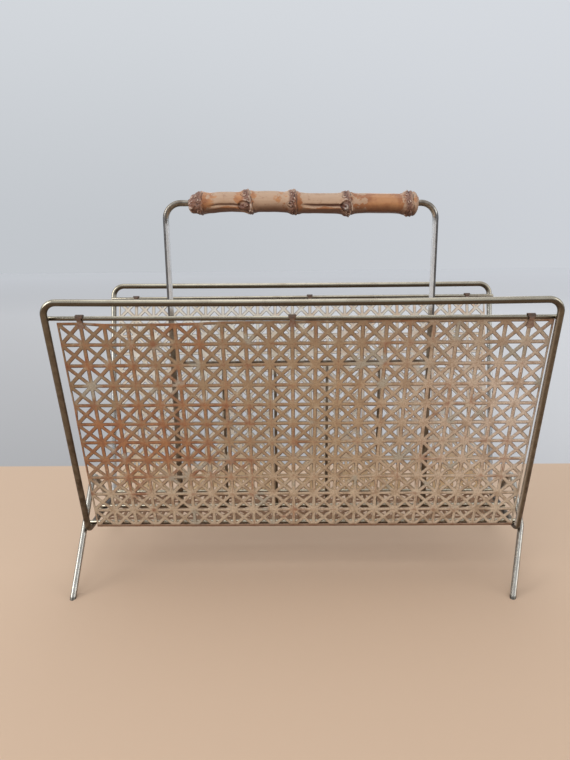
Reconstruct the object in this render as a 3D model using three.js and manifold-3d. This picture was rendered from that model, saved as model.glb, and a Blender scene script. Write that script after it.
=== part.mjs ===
// A wire magazine basket: a U-bent sheet with a punched star pattern hangs in a brass-plated wire frame,
// with a wire divider and a bamboo grip on the middle handle.
// X runs along the basket, Y from front to back and Z up from the floor, in millimetres.

import * as THREE from "three";
import { mergeGeometries, mergeVertices } from "three/addons/utils/BufferGeometryUtils.js";
import Module from "manifold-3d";

const manifold = await Module();
manifold.setup();

// Driving dimensions: wires
const frameWireDiameter = 5.6;
const crossWireDiameter = 3.8;
const dividerWireDiameter = 2.8;
const contactGap = 0.3;

// Driving dimensions: the looped main frame
const endSpacing = 411;
const railHeight = 271;
const railHalfDepth = 98;
const runHeight = 49;
const runHalfDepth = 42.4;
const railBendRadius = 11;
const runBendRadius = 8;

// Driving dimensions: crossbars and bottom wires
const crossbarDrop = 13.3;
const crossbarEndPast = 2.5;
const bottomWireEndPast = 2;

// Driving dimensions: legs
const footHalfSpread = 80.5;
const legApexHeight = 90.5;
const legBendRadius = 9;
const rightFootInset = 20.5;
const weldBendRadius = 14;

// Driving dimensions: handle and divider
const handleHalfSpan = 123.5;
const handleHeight = 351.5;
const handleBendRadius = 14;
const dividerHeight = 204;
const dividerRodSpacing = 50.5;
const dividerRodCount = 4;

// Driving dimensions: bamboo grip
const gripLength = 208.5;
const gripShift = 2.6;
const gripRadius = 8.3;
const gripNodeRise = 2.6;
const gripNodeHalfWidth = 9;
const gripRingRise = 0.5;
const gripRingHalfWidth = 1.6;
const gripBoreGap = 0.4;

// Driving dimensions: perforated sheet
const sheetThickness = 0.8;
const sheetLeftClearance = 4.5;
const sheetRightClearance = 1.4;
const sheetTopStrip = 0.75;
const starPitch = 40;
const starBarWidth = 6.6;

// Driving dimensions: clips
const clipWidth = 6.3;
const clipThickness = 0.9;
const clipReach = 3.4;

// Lengths that only serve cuts
const cutOverrun = 10;

// Shares of the sheet's width at which the clips sit, and of the grip's length at which its nodes sit
const frontClipShares = [1 / 21, 10 / 21, 20 / 21];
const rearClipShares = [1 / 21, 11 / 21, 20 / 21];
const gripNodeShares = [0.053, 0.263, 0.456, 0.691, 0.961];
const gripNodeSizeShares = [1, 0.85, 0.85, 0.95, 1.1];
const gripEndShares = [0.74, 0.9];

// Counts and angles of the facets
const frameWireSides = 12;
const thinWireSides = 10;
const bendStep = THREE.MathUtils.degToRad(15);
const rightEndTurn = THREE.MathUtils.degToRad(1.57);
const gripSides = 24;
const gripSteps = 60;

// Worked-out places
const frameRadius = frameWireDiameter / 2;
const crossRadius = crossWireDiameter / 2;
const dividerRadius = dividerWireDiameter / 2;
const halfSpacing = endSpacing / 2;
const sideSlope = (railHalfDepth - runHalfDepth) / (railHeight - runHeight);
const sideTilt = Math.atan(sideSlope);
const sheetOffset = (frameRadius + contactGap + crossRadius) / Math.cos(sideTilt);
const crossbarHeight = railHeight - crossbarDrop;
const bottomWireHeight = runHeight + frameRadius + contactGap + crossRadius;
const seatRadius = crossRadius + contactGap + sheetThickness / 2;
const floorHeight = bottomWireHeight - seatRadius;
const wallTopHeight = crossbarHeight - (crossRadius + contactGap) * Math.cos(sideTilt);
const legPlane = halfSpacing + frameWireDiameter + contactGap;
const sheetLeft = -halfSpacing + frameRadius + sheetLeftClearance;
const sheetRight = halfSpacing - frameRadius - sheetRightClearance;

// Materials
const brassWire = new THREE.MeshStandardMaterial({ color: 0xa89a74, roughness: 0.34, metalness: 0.9 });
const agedSheet = new THREE.MeshStandardMaterial({ color: 0xb59877, roughness: 0.55, metalness: 0.6 });
const rustyClip = new THREE.MeshStandardMaterial({ color: 0x5f4535, roughness: 0.8, metalness: 0.3 });
const bamboo = new THREE.MeshStandardMaterial({ color: 0xc0854f, roughness: 0.5, metalness: 0 });

// Distance of a side wire's centre line from the mid-plane at a height
function sideWireDepth(height) {
  return railHalfDepth - sideSlope * (railHeight - height);
}

// Distance of the sheet's middle surface, and of the crossbars, from the mid-plane at a height
function sheetDepth(height) {
  return sideWireDepth(height) - sheetOffset;
}

// A point of an end frame or leg. The right end is turned a little about the vertical, its front side in.
function endPoint(x, y, z) {
  const turn = x > 0 ? rightEndTurn : 0;
  return new THREE.Vector3(x + y * Math.tan(turn), y, z);
}

// Stations along an arc that rounds one corner: a point and a tangent each
function bendStations(before, corner, after, radius) {
  const arriving = corner.clone().sub(before).normalize();
  const leaving = after.clone().sub(corner).normalize();
  const turn = arriving.angleTo(leaving);
  const tangentLength = radius * Math.tan(turn / 2);
  const start = corner.clone().addScaledVector(arriving, -tangentLength);
  const inward = leaving.clone().addScaledVector(arriving, -Math.cos(turn)).normalize();
  const steps = Math.max(1, Math.ceil(turn / bendStep));
  const stations = [];
  for (let i = 0; i <= steps; i++) {
    const angle = (turn * i) / steps;
    const point = start.clone();
    point.addScaledVector(arriving, radius * Math.sin(angle));
    point.addScaledVector(inward, radius * (1 - Math.cos(angle)));
    const tangent = arriving.clone().multiplyScalar(Math.cos(angle));
    tangent.addScaledVector(inward, Math.sin(angle));
    stations.push({ point, tangent });
  }
  return stations;
}

// A wire's centre line: straight runs joined by arcs, sampled only where it needs a ring
class WireLine extends THREE.Curve {
  constructor(corners, radii, closed = false) {
    super();
    this.closed = closed;
    this.stations = [];
    const count = corners.length;
    corners.forEach((corner, i) => {
      const before = corners[(i + count - 1) % count];
      const after = corners[(i + 1) % count];
      if (!closed && i === 0) {
        this.stations.push({ point: corner, tangent: after.clone().sub(corner).normalize() });
      } else if (!closed && i === count - 1) {
        this.stations.push({ point: corner, tangent: corner.clone().sub(before).normalize() });
      } else {
        this.stations.push(...bendStations(before, corner, after, radii[i]));
      }
    });
    this.steps = closed ? this.stations.length : this.stations.length - 1;
  }

  station(u) {
    return this.stations[Math.round(u * this.steps) % this.stations.length];
  }

  getPointAt(u, target = new THREE.Vector3()) {
    return target.copy(this.station(u).point);
  }

  getTangentAt(u, target = new THREE.Vector3()) {
    return target.copy(this.station(u).tangent);
  }
}

// A round wire swept along its centre line
function sweep(line, radius, sides) {
  if (line.closed) {
    return new THREE.TubeGeometry(line, line.steps, radius, sides, true);
  }
  const section = new THREE.Shape();
  section.absarc(0, 0, radius, 0, 2 * Math.PI, false);
  const options = { steps: line.steps, curveSegments: sides / 2, extrudePath: line, bevelEnabled: false };
  return new THREE.ExtrudeGeometry(section, options);
}

// A straight wire between two points
function straightWire(from, to, radius, sides) {
  return sweep(new WireLine([from, to], []), radius, sides);
}

// A geometry's positions alone, with shared corners joined
function weld(geometry) {
  const bare = new THREE.BufferGeometry();
  bare.setAttribute("position", geometry.getAttribute("position").clone());
  if (geometry.index) {
    bare.setIndex(geometry.index.clone());
  }
  return mergeVertices(bare);
}

// A closed geometry as a solid that can be joined and cut
function toSolid(geometry) {
  const welded = weld(geometry);
  const vertProperties = Float32Array.from(welded.getAttribute("position").array);
  const triVerts = Uint32Array.from(welded.index.array);
  return new manifold.Manifold(new manifold.Mesh({ numProp: 3, vertProperties, triVerts }));
}

// A cut solid as a geometry again
function toGeometry(solid) {
  const mesh = solid.getMesh();
  const geometry = new THREE.BufferGeometry();
  geometry.setAttribute("position", new THREE.BufferAttribute(mesh.vertProperties, 3));
  geometry.setIndex(new THREE.BufferAttribute(mesh.triVerts, 1));
  return geometry;
}

const basket = new THREE.Group();

// One named piece of the basket
function addPiece(name, geometry, material) {
  const welded = weld(geometry);
  welded.computeVertexNormals();
  const mesh = new THREE.Mesh(welded, material);
  mesh.name = name;
  basket.add(mesh);
  return mesh;
}

// Main frame: one closed loop, down each end as a U and along both sides as the top rails
function buildMainFrame() {
  const corners = [
    endPoint(-halfSpacing, -railHalfDepth, railHeight),
    endPoint(halfSpacing, -railHalfDepth, railHeight),
    endPoint(halfSpacing, -runHalfDepth, runHeight),
    endPoint(halfSpacing, runHalfDepth, runHeight),
    endPoint(halfSpacing, railHalfDepth, railHeight),
    endPoint(-halfSpacing, railHalfDepth, railHeight),
    endPoint(-halfSpacing, runHalfDepth, runHeight),
    endPoint(-halfSpacing, -runHalfDepth, runHeight),
  ];
  const radii = corners.map((corner) => (corner.z === railHeight ? railBendRadius : runBendRadius));
  addPiece("main_frame", sweep(new WireLine(corners, radii, true), frameRadius, frameWireSides), brassWire);
}

// Crossbars: they lap the side wires on the inside, and the sheet hangs from them
function buildCrossbars() {
  const reach = halfSpacing + crossbarEndPast;
  for (const [name, side] of [["front_crossbar", -1], ["rear_crossbar", 1]]) {
    const depth = side * sheetDepth(crossbarHeight);
    const from = endPoint(-reach, depth, crossbarHeight);
    const to = endPoint(reach, depth, crossbarHeight);
    addPiece(name, straightWire(from, to, crossRadius, thinWireSides), brassWire);
  }
}

// Bottom wires: they lie over the end frames' bottom runs, two of them in the sheet's bends
function buildBottomWires() {
  const reach = halfSpacing + bottomWireEndPast;
  const bendDepth = sheetDepth(bottomWireHeight) - seatRadius / Math.cos(sideTilt);
  const places = [
    ["bottom_front_wire", -bendDepth],
    ["bottom_centre_wire", 0],
    ["bottom_rear_wire", bendDepth],
  ];
  for (const [name, depth] of places) {
    const from = endPoint(-reach, depth, bottomWireHeight);
    const to = endPoint(reach, depth, bottomWireHeight);
    addPiece(name, straightWire(from, to, crossRadius, thinWireSides), brassWire);
  }
}

// A leg's centre line, from the rear foot over the apex to the front foot, both run on below the floor.
// With an inset the front foot is sprung inwards from its weld down.
function legLine(plane, frontFootInset) {
  const fall = footHalfSpread / legApexHeight;
  const footDepth = footHalfSpread + fall * cutOverrun;
  const corners = [
    endPoint(plane, footDepth, -cutOverrun),
    endPoint(plane, 0, legApexHeight),
  ];
  const radii = [0, legBendRadius];
  if (frontFootInset > 0) {
    corners.push(endPoint(plane, -fall * (legApexHeight - runHeight), runHeight));
    radii.push(weldBendRadius);
  }
  const inset = frontFootInset * (1 + cutOverrun / runHeight);
  corners.push(new THREE.Vector3(plane - inset, -footDepth, -cutOverrun));
  radii.push(0);
  return new WireLine(corners, radii);
}

// Legs: a bent wire outside each end frame, its feet cut level with the floor
function buildLegs() {
  const coverX = 2 * (legPlane + frameWireDiameter);
  const coverY = 2 * (footHalfSpread + 2 * cutOverrun);
  const below = new THREE.BoxGeometry(coverX, coverY, 2 * cutOverrun);
  below.translate(0, 0, -cutOverrun);
  const floorCut = toSolid(below);
  const places = [
    ["left_leg", -legPlane, 0],
    ["right_leg", legPlane, rightFootInset],
  ];
  for (const [name, plane, frontFootInset] of places) {
    const wire = toSolid(sweep(legLine(plane, frontFootInset), frameRadius, frameWireSides));
    addPiece(name, toGeometry(wire.subtract(floorCut)), brassWire);
  }
}

// Handle: an arch that stands on the bottom centre wire
function buildHandle() {
  const foot = bottomWireHeight + crossRadius + contactGap;
  const corners = [
    new THREE.Vector3(-handleHalfSpan, 0, foot),
    new THREE.Vector3(-handleHalfSpan, 0, handleHeight),
    new THREE.Vector3(handleHalfSpan, 0, handleHeight),
    new THREE.Vector3(handleHalfSpan, 0, foot),
  ];
  const radii = corners.map(() => handleBendRadius);
  addPiece("handle_wire", sweep(new WireLine(corners, radii), frameRadius, frameWireSides), brassWire);
}

// Divider: a bar between the handle's legs, and rods from it down to the bottom centre wire
function buildDivider() {
  const reach = handleHalfSpan - frameRadius - contactGap;
  const left = new THREE.Vector3(-reach, 0, dividerHeight);
  const right = new THREE.Vector3(reach, 0, dividerHeight);
  addPiece("divider_bar", straightWire(left, right, dividerRadius, thinWireSides), brassWire);
  const foot = bottomWireHeight + crossRadius + contactGap;
  const top = dividerHeight - dividerRadius - contactGap;
  for (let i = 0; i < dividerRodCount; i++) {
    const place = (i - (dividerRodCount - 1) / 2) * dividerRodSpacing;
    const from = new THREE.Vector3(place, 0, foot);
    const to = new THREE.Vector3(place, 0, top);
    addPiece(`divider_rod_${i + 1}`, straightWire(from, to, dividerRadius, thinWireSides), brassWire);
  }
}

// The grip's outer radius at a distance from its left end: slim between nodes, swollen and ringed at each
function gripOuterRadius(distance) {
  let radius = gripRadius;
  gripNodeShares.forEach((share, i) => {
    const away = Math.abs(distance - share * gripLength);
    const swell = Math.exp(-((away / gripNodeHalfWidth) ** 2));
    const ring = Math.exp(-((away / gripRingHalfWidth) ** 2));
    radius += gripNodeSizeShares[i] * (gripNodeRise * swell + gripRingRise * ring);
  });
  return radius;
}

// Distances along the grip where its profile has a point: even steps, and three at each node
function gripStations() {
  const distances = [];
  for (let i = 1; i < gripSteps; i++) {
    distances.push((gripLength * i) / gripSteps);
  }
  for (const share of gripNodeShares) {
    distances.push(share * gripLength);
  }
  return distances.sort((a, b) => a - b);
}

// Bamboo grip: a bored length of cane root that turns on the handle's top
function buildGrip() {
  const bore = frameRadius + gripBoreGap;
  const profile = [new THREE.Vector2(bore, 0)];
  profile.push(new THREE.Vector2(gripOuterRadius(0) * gripEndShares[0], 0));
  for (const distance of gripStations()) {
    profile.push(new THREE.Vector2(gripOuterRadius(distance), distance));
  }
  profile.push(new THREE.Vector2(gripOuterRadius(gripLength) * gripEndShares[1], gripLength));
  profile.push(new THREE.Vector2(bore, gripLength));
  profile.push(new THREE.Vector2(bore, 0));
  const cane = new THREE.LatheGeometry(profile, gripSides);
  cane.rotateZ(-Math.PI / 2);
  cane.translate(gripShift - gripLength / 2, 0, handleHeight);
  addPiece("bamboo_grip", cane, bamboo);
}

// The sheet's bent outline, seen along the basket: two sloping walls and a floor with rounded bends
function sheetOutline() {
  const corners = [
    new THREE.Vector3(-sheetDepth(wallTopHeight), wallTopHeight, 0),
    new THREE.Vector3(-sheetDepth(floorHeight), floorHeight, 0),
    new THREE.Vector3(sheetDepth(floorHeight), floorHeight, 0),
    new THREE.Vector3(sheetDepth(wallTopHeight), wallTopHeight, 0),
  ];
  const line = new WireLine(corners, corners.map(() => seatRadius));
  const outer = [];
  const inner = [];
  for (const { point, tangent } of line.stations) {
    const normal = new THREE.Vector2(-tangent.y, tangent.x).multiplyScalar(sheetThickness / 2);
    outer.push(new THREE.Vector2(point.x - normal.x, point.y - normal.y));
    inner.unshift(new THREE.Vector2(point.x + normal.x, point.y + normal.y));
  }
  return new THREE.Shape([...outer, ...inner]);
}

// A triangle drawn in by half a bar's width on all its sides
function drawnInTriangle(a, b, c, inset) {
  const sideA = b.distanceTo(c);
  const sideB = c.distanceTo(a);
  const sideC = a.distanceTo(b);
  const around = sideA + sideB + sideC;
  const middle = new THREE.Vector2();
  middle.addScaledVector(a, sideA / around);
  middle.addScaledVector(b, sideB / around);
  middle.addScaledVector(c, sideC / around);
  const area = Math.abs(b.clone().sub(a).cross(c.clone().sub(a))) / 2;
  const shrink = 1 - (inset * around) / (2 * area);
  const drawnIn = [a, b, c].map((corner) => corner.clone().sub(middle).multiplyScalar(shrink).add(middle));
  return new THREE.Shape(drawnIn);
}

// The openings of a panel: each cell between stars is parted by its two diagonals into four triangles
function starOpenings(width, length) {
  const columns = Math.max(1, Math.round(width / starPitch));
  const rows = Math.max(1, Math.round(length / starPitch));
  const cellWidth = width / columns;
  const cellLength = length / rows;
  const openings = [];
  for (let column = 0; column < columns; column++) {
    for (let row = 0; row < rows; row++) {
      const corners = [[0, 0], [1, 0], [1, 1], [0, 1]].map(
        ([across, along]) => new THREE.Vector2((column + across) * cellWidth, (row + along) * cellLength),
      );
      const centre = corners[0].clone().add(corners[2]).multiplyScalar(1 / 2);
      corners.forEach((corner, i) => {
        openings.push(drawnInTriangle(corner, corners[(i + 1) % corners.length], centre, starBarWidth / 2));
      });
    }
  }
  return openings;
}

// The punches for one panel, which starts at a place on the sheet and runs across it and along a direction
function panelPunches(start, along, length) {
  const across = new THREE.Vector3(1, 0, 0);
  const normal = across.clone().cross(along);
  const depth = sheetThickness + 2 * cutOverrun;
  const options = { depth, bevelEnabled: false };
  const punches = new THREE.ExtrudeGeometry(starOpenings(sheetRight - sheetLeft, length), options);
  const placed = new THREE.Matrix4().makeBasis(across, along, normal);
  placed.setPosition(start.clone().addScaledVector(normal, -depth / 2));
  punches.applyMatrix4(placed);
  return weld(punches);
}

// Perforated sheet: bent to a U and punched with the star pattern on both walls and the floor
function buildSheet() {
  const width = sheetRight - sheetLeft;
  const bent = new THREE.ExtrudeGeometry(sheetOutline(), { depth: width, bevelEnabled: false });
  const yAxis = new THREE.Vector3(0, 1, 0);
  const zAxis = new THREE.Vector3(0, 0, 1);
  const xAxis = new THREE.Vector3(1, 0, 0);
  bent.applyMatrix4(new THREE.Matrix4().makeBasis(yAxis, zAxis, xAxis));
  bent.translate(sheetLeft, 0, 0);

  const rowZeroHeight = wallTopHeight - sheetTopStrip * Math.cos(sideTilt);
  const wallLength = (rowZeroHeight - floorHeight) / Math.cos(sideTilt);
  const floorHalf = sheetDepth(floorHeight);
  const down = (side) => new THREE.Vector3(0, -side * Math.sin(sideTilt), -Math.cos(sideTilt));
  const wallStart = (side) => new THREE.Vector3(sheetLeft, side * sheetDepth(rowZeroHeight), rowZeroHeight);
  const floorStart = new THREE.Vector3(sheetLeft, -floorHalf, floorHeight);
  const punches = mergeGeometries([
    panelPunches(wallStart(-1), down(-1), wallLength),
    panelPunches(floorStart, yAxis, 2 * floorHalf),
    panelPunches(wallStart(1), down(1), wallLength),
  ]);
  addPiece("perforated_basket", toGeometry(toSolid(bent).subtract(toSolid(punches))), agedSheet);
}

// A clip's outline, with the crossbar's centre at zero: a strap over the bar whose ends close on the sheet
function clipOutline() {
  const seat = crossRadius + contactGap;
  const grasp = sheetThickness / 2 + contactGap;
  const end = -(seat + clipReach);
  const line = [
    [grasp, end],
    [grasp, -seat - clipThickness],
    [seat, -clipThickness],
    [seat, 0],
  ];
  const shape = new THREE.Shape();
  shape.moveTo(grasp + clipThickness, end);
  shape.lineTo(grasp + clipThickness, -seat - clipThickness);
  shape.lineTo(seat + clipThickness, -clipThickness);
  shape.lineTo(seat + clipThickness, 0);
  shape.absarc(0, 0, seat + clipThickness, 0, Math.PI, false);
  shape.lineTo(-seat - clipThickness, -clipThickness);
  shape.lineTo(-grasp - clipThickness, -seat - clipThickness);
  shape.lineTo(-grasp - clipThickness, end);
  for (const [x, y] of line) {
    shape.lineTo(-x, y);
  }
  shape.absarc(0, 0, seat, Math.PI, 0, true);
  for (const [x, y] of line.reverse()) {
    shape.lineTo(x, y);
  }
  return shape;
}

// Clips: three on each crossbar, each holding the sheet's top edge to the bar
function buildClips() {
  const options = { depth: clipWidth, bevelEnabled: false, curveSegments: 5 };
  for (const [name, side, shares] of [["front", -1, frontClipShares], ["rear", 1, rearClipShares]]) {
    const up = new THREE.Vector3(0, side * Math.sin(sideTilt), Math.cos(sideTilt));
    const across = new THREE.Vector3(1, 0, 0);
    const outward = up.clone().cross(across);
    shares.forEach((share, i) => {
      const strap = new THREE.ExtrudeGeometry(clipOutline(), options);
      const placed = new THREE.Matrix4().makeBasis(outward, up, across);
      const place = sheetLeft + share * (sheetRight - sheetLeft) - clipWidth / 2;
      placed.setPosition(place, side * sheetDepth(crossbarHeight), crossbarHeight);
      strap.applyMatrix4(placed);
      addPiece(`${name}_clip_${i + 1}`, strap, rustyClip);
    });
  }
}

buildMainFrame();
buildCrossbars();
buildBottomWires();
buildLegs();
buildHandle();
buildDivider();
buildGrip();
buildSheet();
buildClips();

export default basket;
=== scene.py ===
# %% [markdown]
# A wire magazine basket with a star-punched sheet and a bamboo grip.
#
# The basket is a lesson in three ways of building things in Blender. Its wires are lines that get
# rounded at their corners and then thickened. Its sheet is one small punched cell that is repeated
# and then folded, just as a factory punches a flat sheet and folds it over a former. Its grip grew,
# so it is a turned form whose radius is worked out point by point.
#
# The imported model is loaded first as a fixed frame. Everything made here goes exactly where it says.

import math
import random

import bmesh
import bpy
from mathutils import Matrix, Vector, geometry, noise


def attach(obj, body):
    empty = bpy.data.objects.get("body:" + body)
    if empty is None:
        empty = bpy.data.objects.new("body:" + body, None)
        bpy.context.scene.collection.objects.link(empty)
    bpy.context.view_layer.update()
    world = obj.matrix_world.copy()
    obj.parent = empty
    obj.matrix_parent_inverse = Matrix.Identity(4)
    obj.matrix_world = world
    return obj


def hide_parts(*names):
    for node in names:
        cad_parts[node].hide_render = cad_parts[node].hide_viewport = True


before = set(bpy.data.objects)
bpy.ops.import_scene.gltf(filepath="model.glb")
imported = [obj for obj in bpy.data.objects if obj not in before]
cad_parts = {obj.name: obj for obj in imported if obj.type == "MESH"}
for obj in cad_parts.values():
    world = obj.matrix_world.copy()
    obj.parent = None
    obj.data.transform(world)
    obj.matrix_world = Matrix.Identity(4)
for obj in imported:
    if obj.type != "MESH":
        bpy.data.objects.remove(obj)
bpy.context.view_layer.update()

# %% [markdown]
# Sizes come next, in metres. A basket like this is made from three gauges of wire: thick wire for
# what carries weight, thinner wire across it, and the thinnest for the divider. The names are the
# maker's words for each place, and every place further down is worked out from them.

# %% Sizes
MM = 0.001
FRAME_WIRE = 5.6 * MM
CROSS_WIRE = 3.8 * MM
DIVIDER_WIRE = 2.8 * MM
WELD_GAP = 0.3 * MM

END_SPACING = 411 * MM
RAIL_HEIGHT = 271 * MM
RAIL_HALF_DEPTH = 98 * MM
RUN_HEIGHT = 49 * MM
RUN_HALF_DEPTH = 42.4 * MM
RAIL_BEND = 11 * MM
RUN_BEND = 8 * MM

CROSSBAR_DROP = 13.3 * MM
CROSSBAR_END_PAST = 2.5 * MM
BOTTOM_WIRE_END_PAST = 2 * MM

FOOT_HALF_SPREAD = 80.5 * MM
LEG_APEX_HEIGHT = 90.5 * MM
LEG_BEND = 9 * MM
RIGHT_FOOT_INSET = 20.5 * MM
WELD_BEND = 14 * MM
RIGHT_END_TURN = math.radians(1.57)
BELOW_FLOOR = 10 * MM

HANDLE_HALF_SPAN = 123.5 * MM
HANDLE_HEIGHT = 351.5 * MM
HANDLE_BEND = 14 * MM
HANDLE_SLOPE = -0.0091
DIVIDER_HEIGHT = 204 * MM
ROD_SPACING = 50.5 * MM
ROD_COUNT = 4

SHEET_THICKNESS = 0.8 * MM
SHEET_HANG = 1.9 * MM
SHEET_LEFT_CLEARANCE = 4.5 * MM
SHEET_RIGHT_CLEARANCE = 1.4 * MM

# %% Places worked out from the sizes
HALF_SPACING = END_SPACING / 2
SIDE_SLOPE = (RAIL_HALF_DEPTH - RUN_HALF_DEPTH) / (RAIL_HEIGHT - RUN_HEIGHT)
SIDE_TILT = math.atan(SIDE_SLOPE)
SHEET_OFFSET = (FRAME_WIRE / 2 + WELD_GAP + CROSS_WIRE / 2) / math.cos(SIDE_TILT)
CROSSBAR_HEIGHT = RAIL_HEIGHT - CROSSBAR_DROP
BOTTOM_WIRE_HEIGHT = RUN_HEIGHT + FRAME_WIRE / 2 + WELD_GAP + CROSS_WIRE / 2
SEAT_RADIUS = CROSS_WIRE / 2 + WELD_GAP + SHEET_THICKNESS / 2
FLOOR_HEIGHT = BOTTOM_WIRE_HEIGHT - SEAT_RADIUS - SHEET_HANG
WALL_TOP_HEIGHT = CROSSBAR_HEIGHT - (CROSS_WIRE / 2 + WELD_GAP) * math.cos(SIDE_TILT)
LEG_PLANE = HALF_SPACING + FRAME_WIRE + WELD_GAP
LEG_FALL = FOOT_HALF_SPREAD / LEG_APEX_HEIGHT
LEG_WELD_DEPTH = LEG_FALL * (LEG_APEX_HEIGHT - RUN_HEIGHT)
SHEET_LEFT = -HALF_SPACING + FRAME_WIRE / 2 + SHEET_LEFT_CLEARANCE
SHEET_RIGHT = HALF_SPACING - FRAME_WIRE / 2 - SHEET_RIGHT_CLEARANCE
HANDLE_FOOT = BOTTOM_WIRE_HEIGHT + CROSS_WIRE / 2 + WELD_GAP
ROD_PLACES = [(i - (ROD_COUNT - 1) / 2) * ROD_SPACING for i in range(ROD_COUNT)]


def sheet_depth(height):
    """Distance of the sheet's middle surface from the mid-plane at a height."""
    return RAIL_HALF_DEPTH - SIDE_SLOPE * (RAIL_HEIGHT - height) - SHEET_OFFSET


def end_point(x, y, z):
    """A point of an end frame or a leg. The right end is turned a little, its front side inwards."""
    turn = RIGHT_END_TURN if x > 0 else 0.0
    return Vector((x + y * math.tan(turn), y, z))


BEND_WIRE_DEPTH = sheet_depth(BOTTOM_WIRE_HEIGHT) - SEAT_RADIUS / math.cos(SIDE_TILT)
CROSSBAR_DEPTH = sheet_depth(CROSSBAR_HEIGHT)
print(f"side walls lean out by {math.degrees(SIDE_TILT):.1f} degrees")

# %% [markdown]
# Node trees, for shapes and for finishes, are easier to read as a short list of lines than as a
# screen full of boxes. A few helpers add a node, set it, and plug in what feeds it. What a node gives
# is kept as a Value, which can be added and multiplied like a number: `a * b` adds a Math node.

# %% Helpers for nodes
class Value:
    """What a node gives. Reckoning with it adds the next node."""

    def __init__(self, tree, socket):
        self.tree, self.socket = tree, socket

    def __add__(self, other):
        return calc("ADD", self, other)

    def __sub__(self, other):
        return calc("SUBTRACT", self, other)

    def __rsub__(self, other):
        return calc("SUBTRACT", other, self)

    def __mul__(self, other):
        return calc("MULTIPLY", self, other)

    def ramp(self, low, high, to_low=0.0, to_high=1.0, smooth=True):
        """The value brought from one range to another, and held at its ends."""
        kind = "SMOOTHSTEP" if smooth else "LINEAR"
        feeds = {0: self, 1: low, 2: high, 3: to_low, 4: to_high}
        return get(self.tree, "ShaderNodeMapRange", feeds, interpolation_type=kind)

    def parts(self):
        """The three parts of a place or a direction."""
        node = add(self.tree, "ShaderNodeSeparateXYZ", {0: self})
        return [Value(self.tree, output) for output in node.outputs]


def feed(node, feeds):
    """Fills sockets by name or number: a Value is linked, and anything else is typed in."""
    for label, source in feeds.items():
        socket = node.inputs[label]
        if isinstance(source, Value):
            source.tree.links.new(source.socket, socket)
        else:
            socket.default_value = source


def add(tree, kind, feeds=None, **settings):
    """Adds one node, with its settings and what feeds it."""
    node = tree.nodes.new(kind)
    for name, value in settings.items():
        setattr(node, name, value)
    feed(node, feeds or {})
    return node


def get(tree, kind, feeds=None, out=0, **settings):
    """Adds one node and takes what it gives."""
    return Value(tree, add(tree, kind, feeds, **settings).outputs[out])


def calc(operation, *values):
    """A Math node's result."""
    tree = next(value.tree for value in values if isinstance(value, Value))
    return get(tree, "ShaderNodeMath", dict(enumerate(values)), operation=operation)


# %% [markdown]
# Finishes. Colours are written as they look in daylight, from 0 to 255, and turned into the linear
# values that the shader wants. Each finish starts from a place on the piece, in Object coordinates:
# the pieces all sit at the origin, so a stain in the upper left of the basket is simply a stain
# at that place, whichever piece it falls on. Wear is laid on in coats, each with its share and paint.

# %% Helpers for finishes
def paint(*daylight):
    """A daylight colour as the linear colour with alpha that a shader takes."""
    shares = [channel / 255 for channel in daylight]
    linear = [s / 12.92 if s <= 0.04045 else ((s + 0.055) / 1.055) ** 2.4 for s in shares]
    return (*linear, 1.0)


def blend(share, first, second):
    """One colour laid over another by a share; each is a Value or a daylight colour."""
    below, above = (tone if isinstance(tone, Value) else paint(*tone) for tone in (first, second))
    return get(share.tree, "ShaderNodeMix", {0: share, 6: below, 7: above}, out=2, data_type="RGBA")


def coated(colour, **coats):
    """A colour under one coat after another."""
    for share, tone in coats.values():
        colour = blend(share, colour, tone)
    return colour


class Finish:
    """A material with one Principled shader, and what its coats are worked out from."""

    def __init__(self, name, **constants):
        self.material = bpy.data.materials.new(name)
        self.material.use_nodes = True
        self.tree = self.material.node_tree
        self.tree.nodes.clear()
        self.shader = add(self.tree, "ShaderNodeBsdfPrincipled", constants)
        add(self.tree, "ShaderNodeOutputMaterial", {"Surface": Value(self.tree, self.shader.outputs[0])})
        self.place = get(self.tree, "ShaderNodeTexCoord", out="Object")

    def noise(self, scale, detail, roughness, stretch=None):
        """A value round a half, whose scale is in features for each metre."""
        place = self.place
        if stretch is not None:
            place = get(self.tree, "ShaderNodeMapping", {"Vector": place, "Scale": stretch})
        feeds = {"Vector": place, "Scale": scale, "Detail": detail, "Roughness": roughness}
        return get(self.tree, "ShaderNodeTexNoise", feeds)

    def mark(self, label):
        """A number written on the points of the mesh."""
        return get(self.tree, "ShaderNodeAttribute", out="Fac", attribute_name=label)

    def upward(self):
        """How far the surface looks up: 1 on top and -1 underneath."""
        return get(self.tree, "ShaderNodeNewGeometry", out="Normal").parts()[2]

    def relief(self, height, distance, strength):
        """Small relief under the light."""
        feeds = {"Height": height, "Distance": distance, "Strength": strength}
        feed(self.shader, {"Normal": get(self.tree, "ShaderNodeBump", feeds)})
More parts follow.
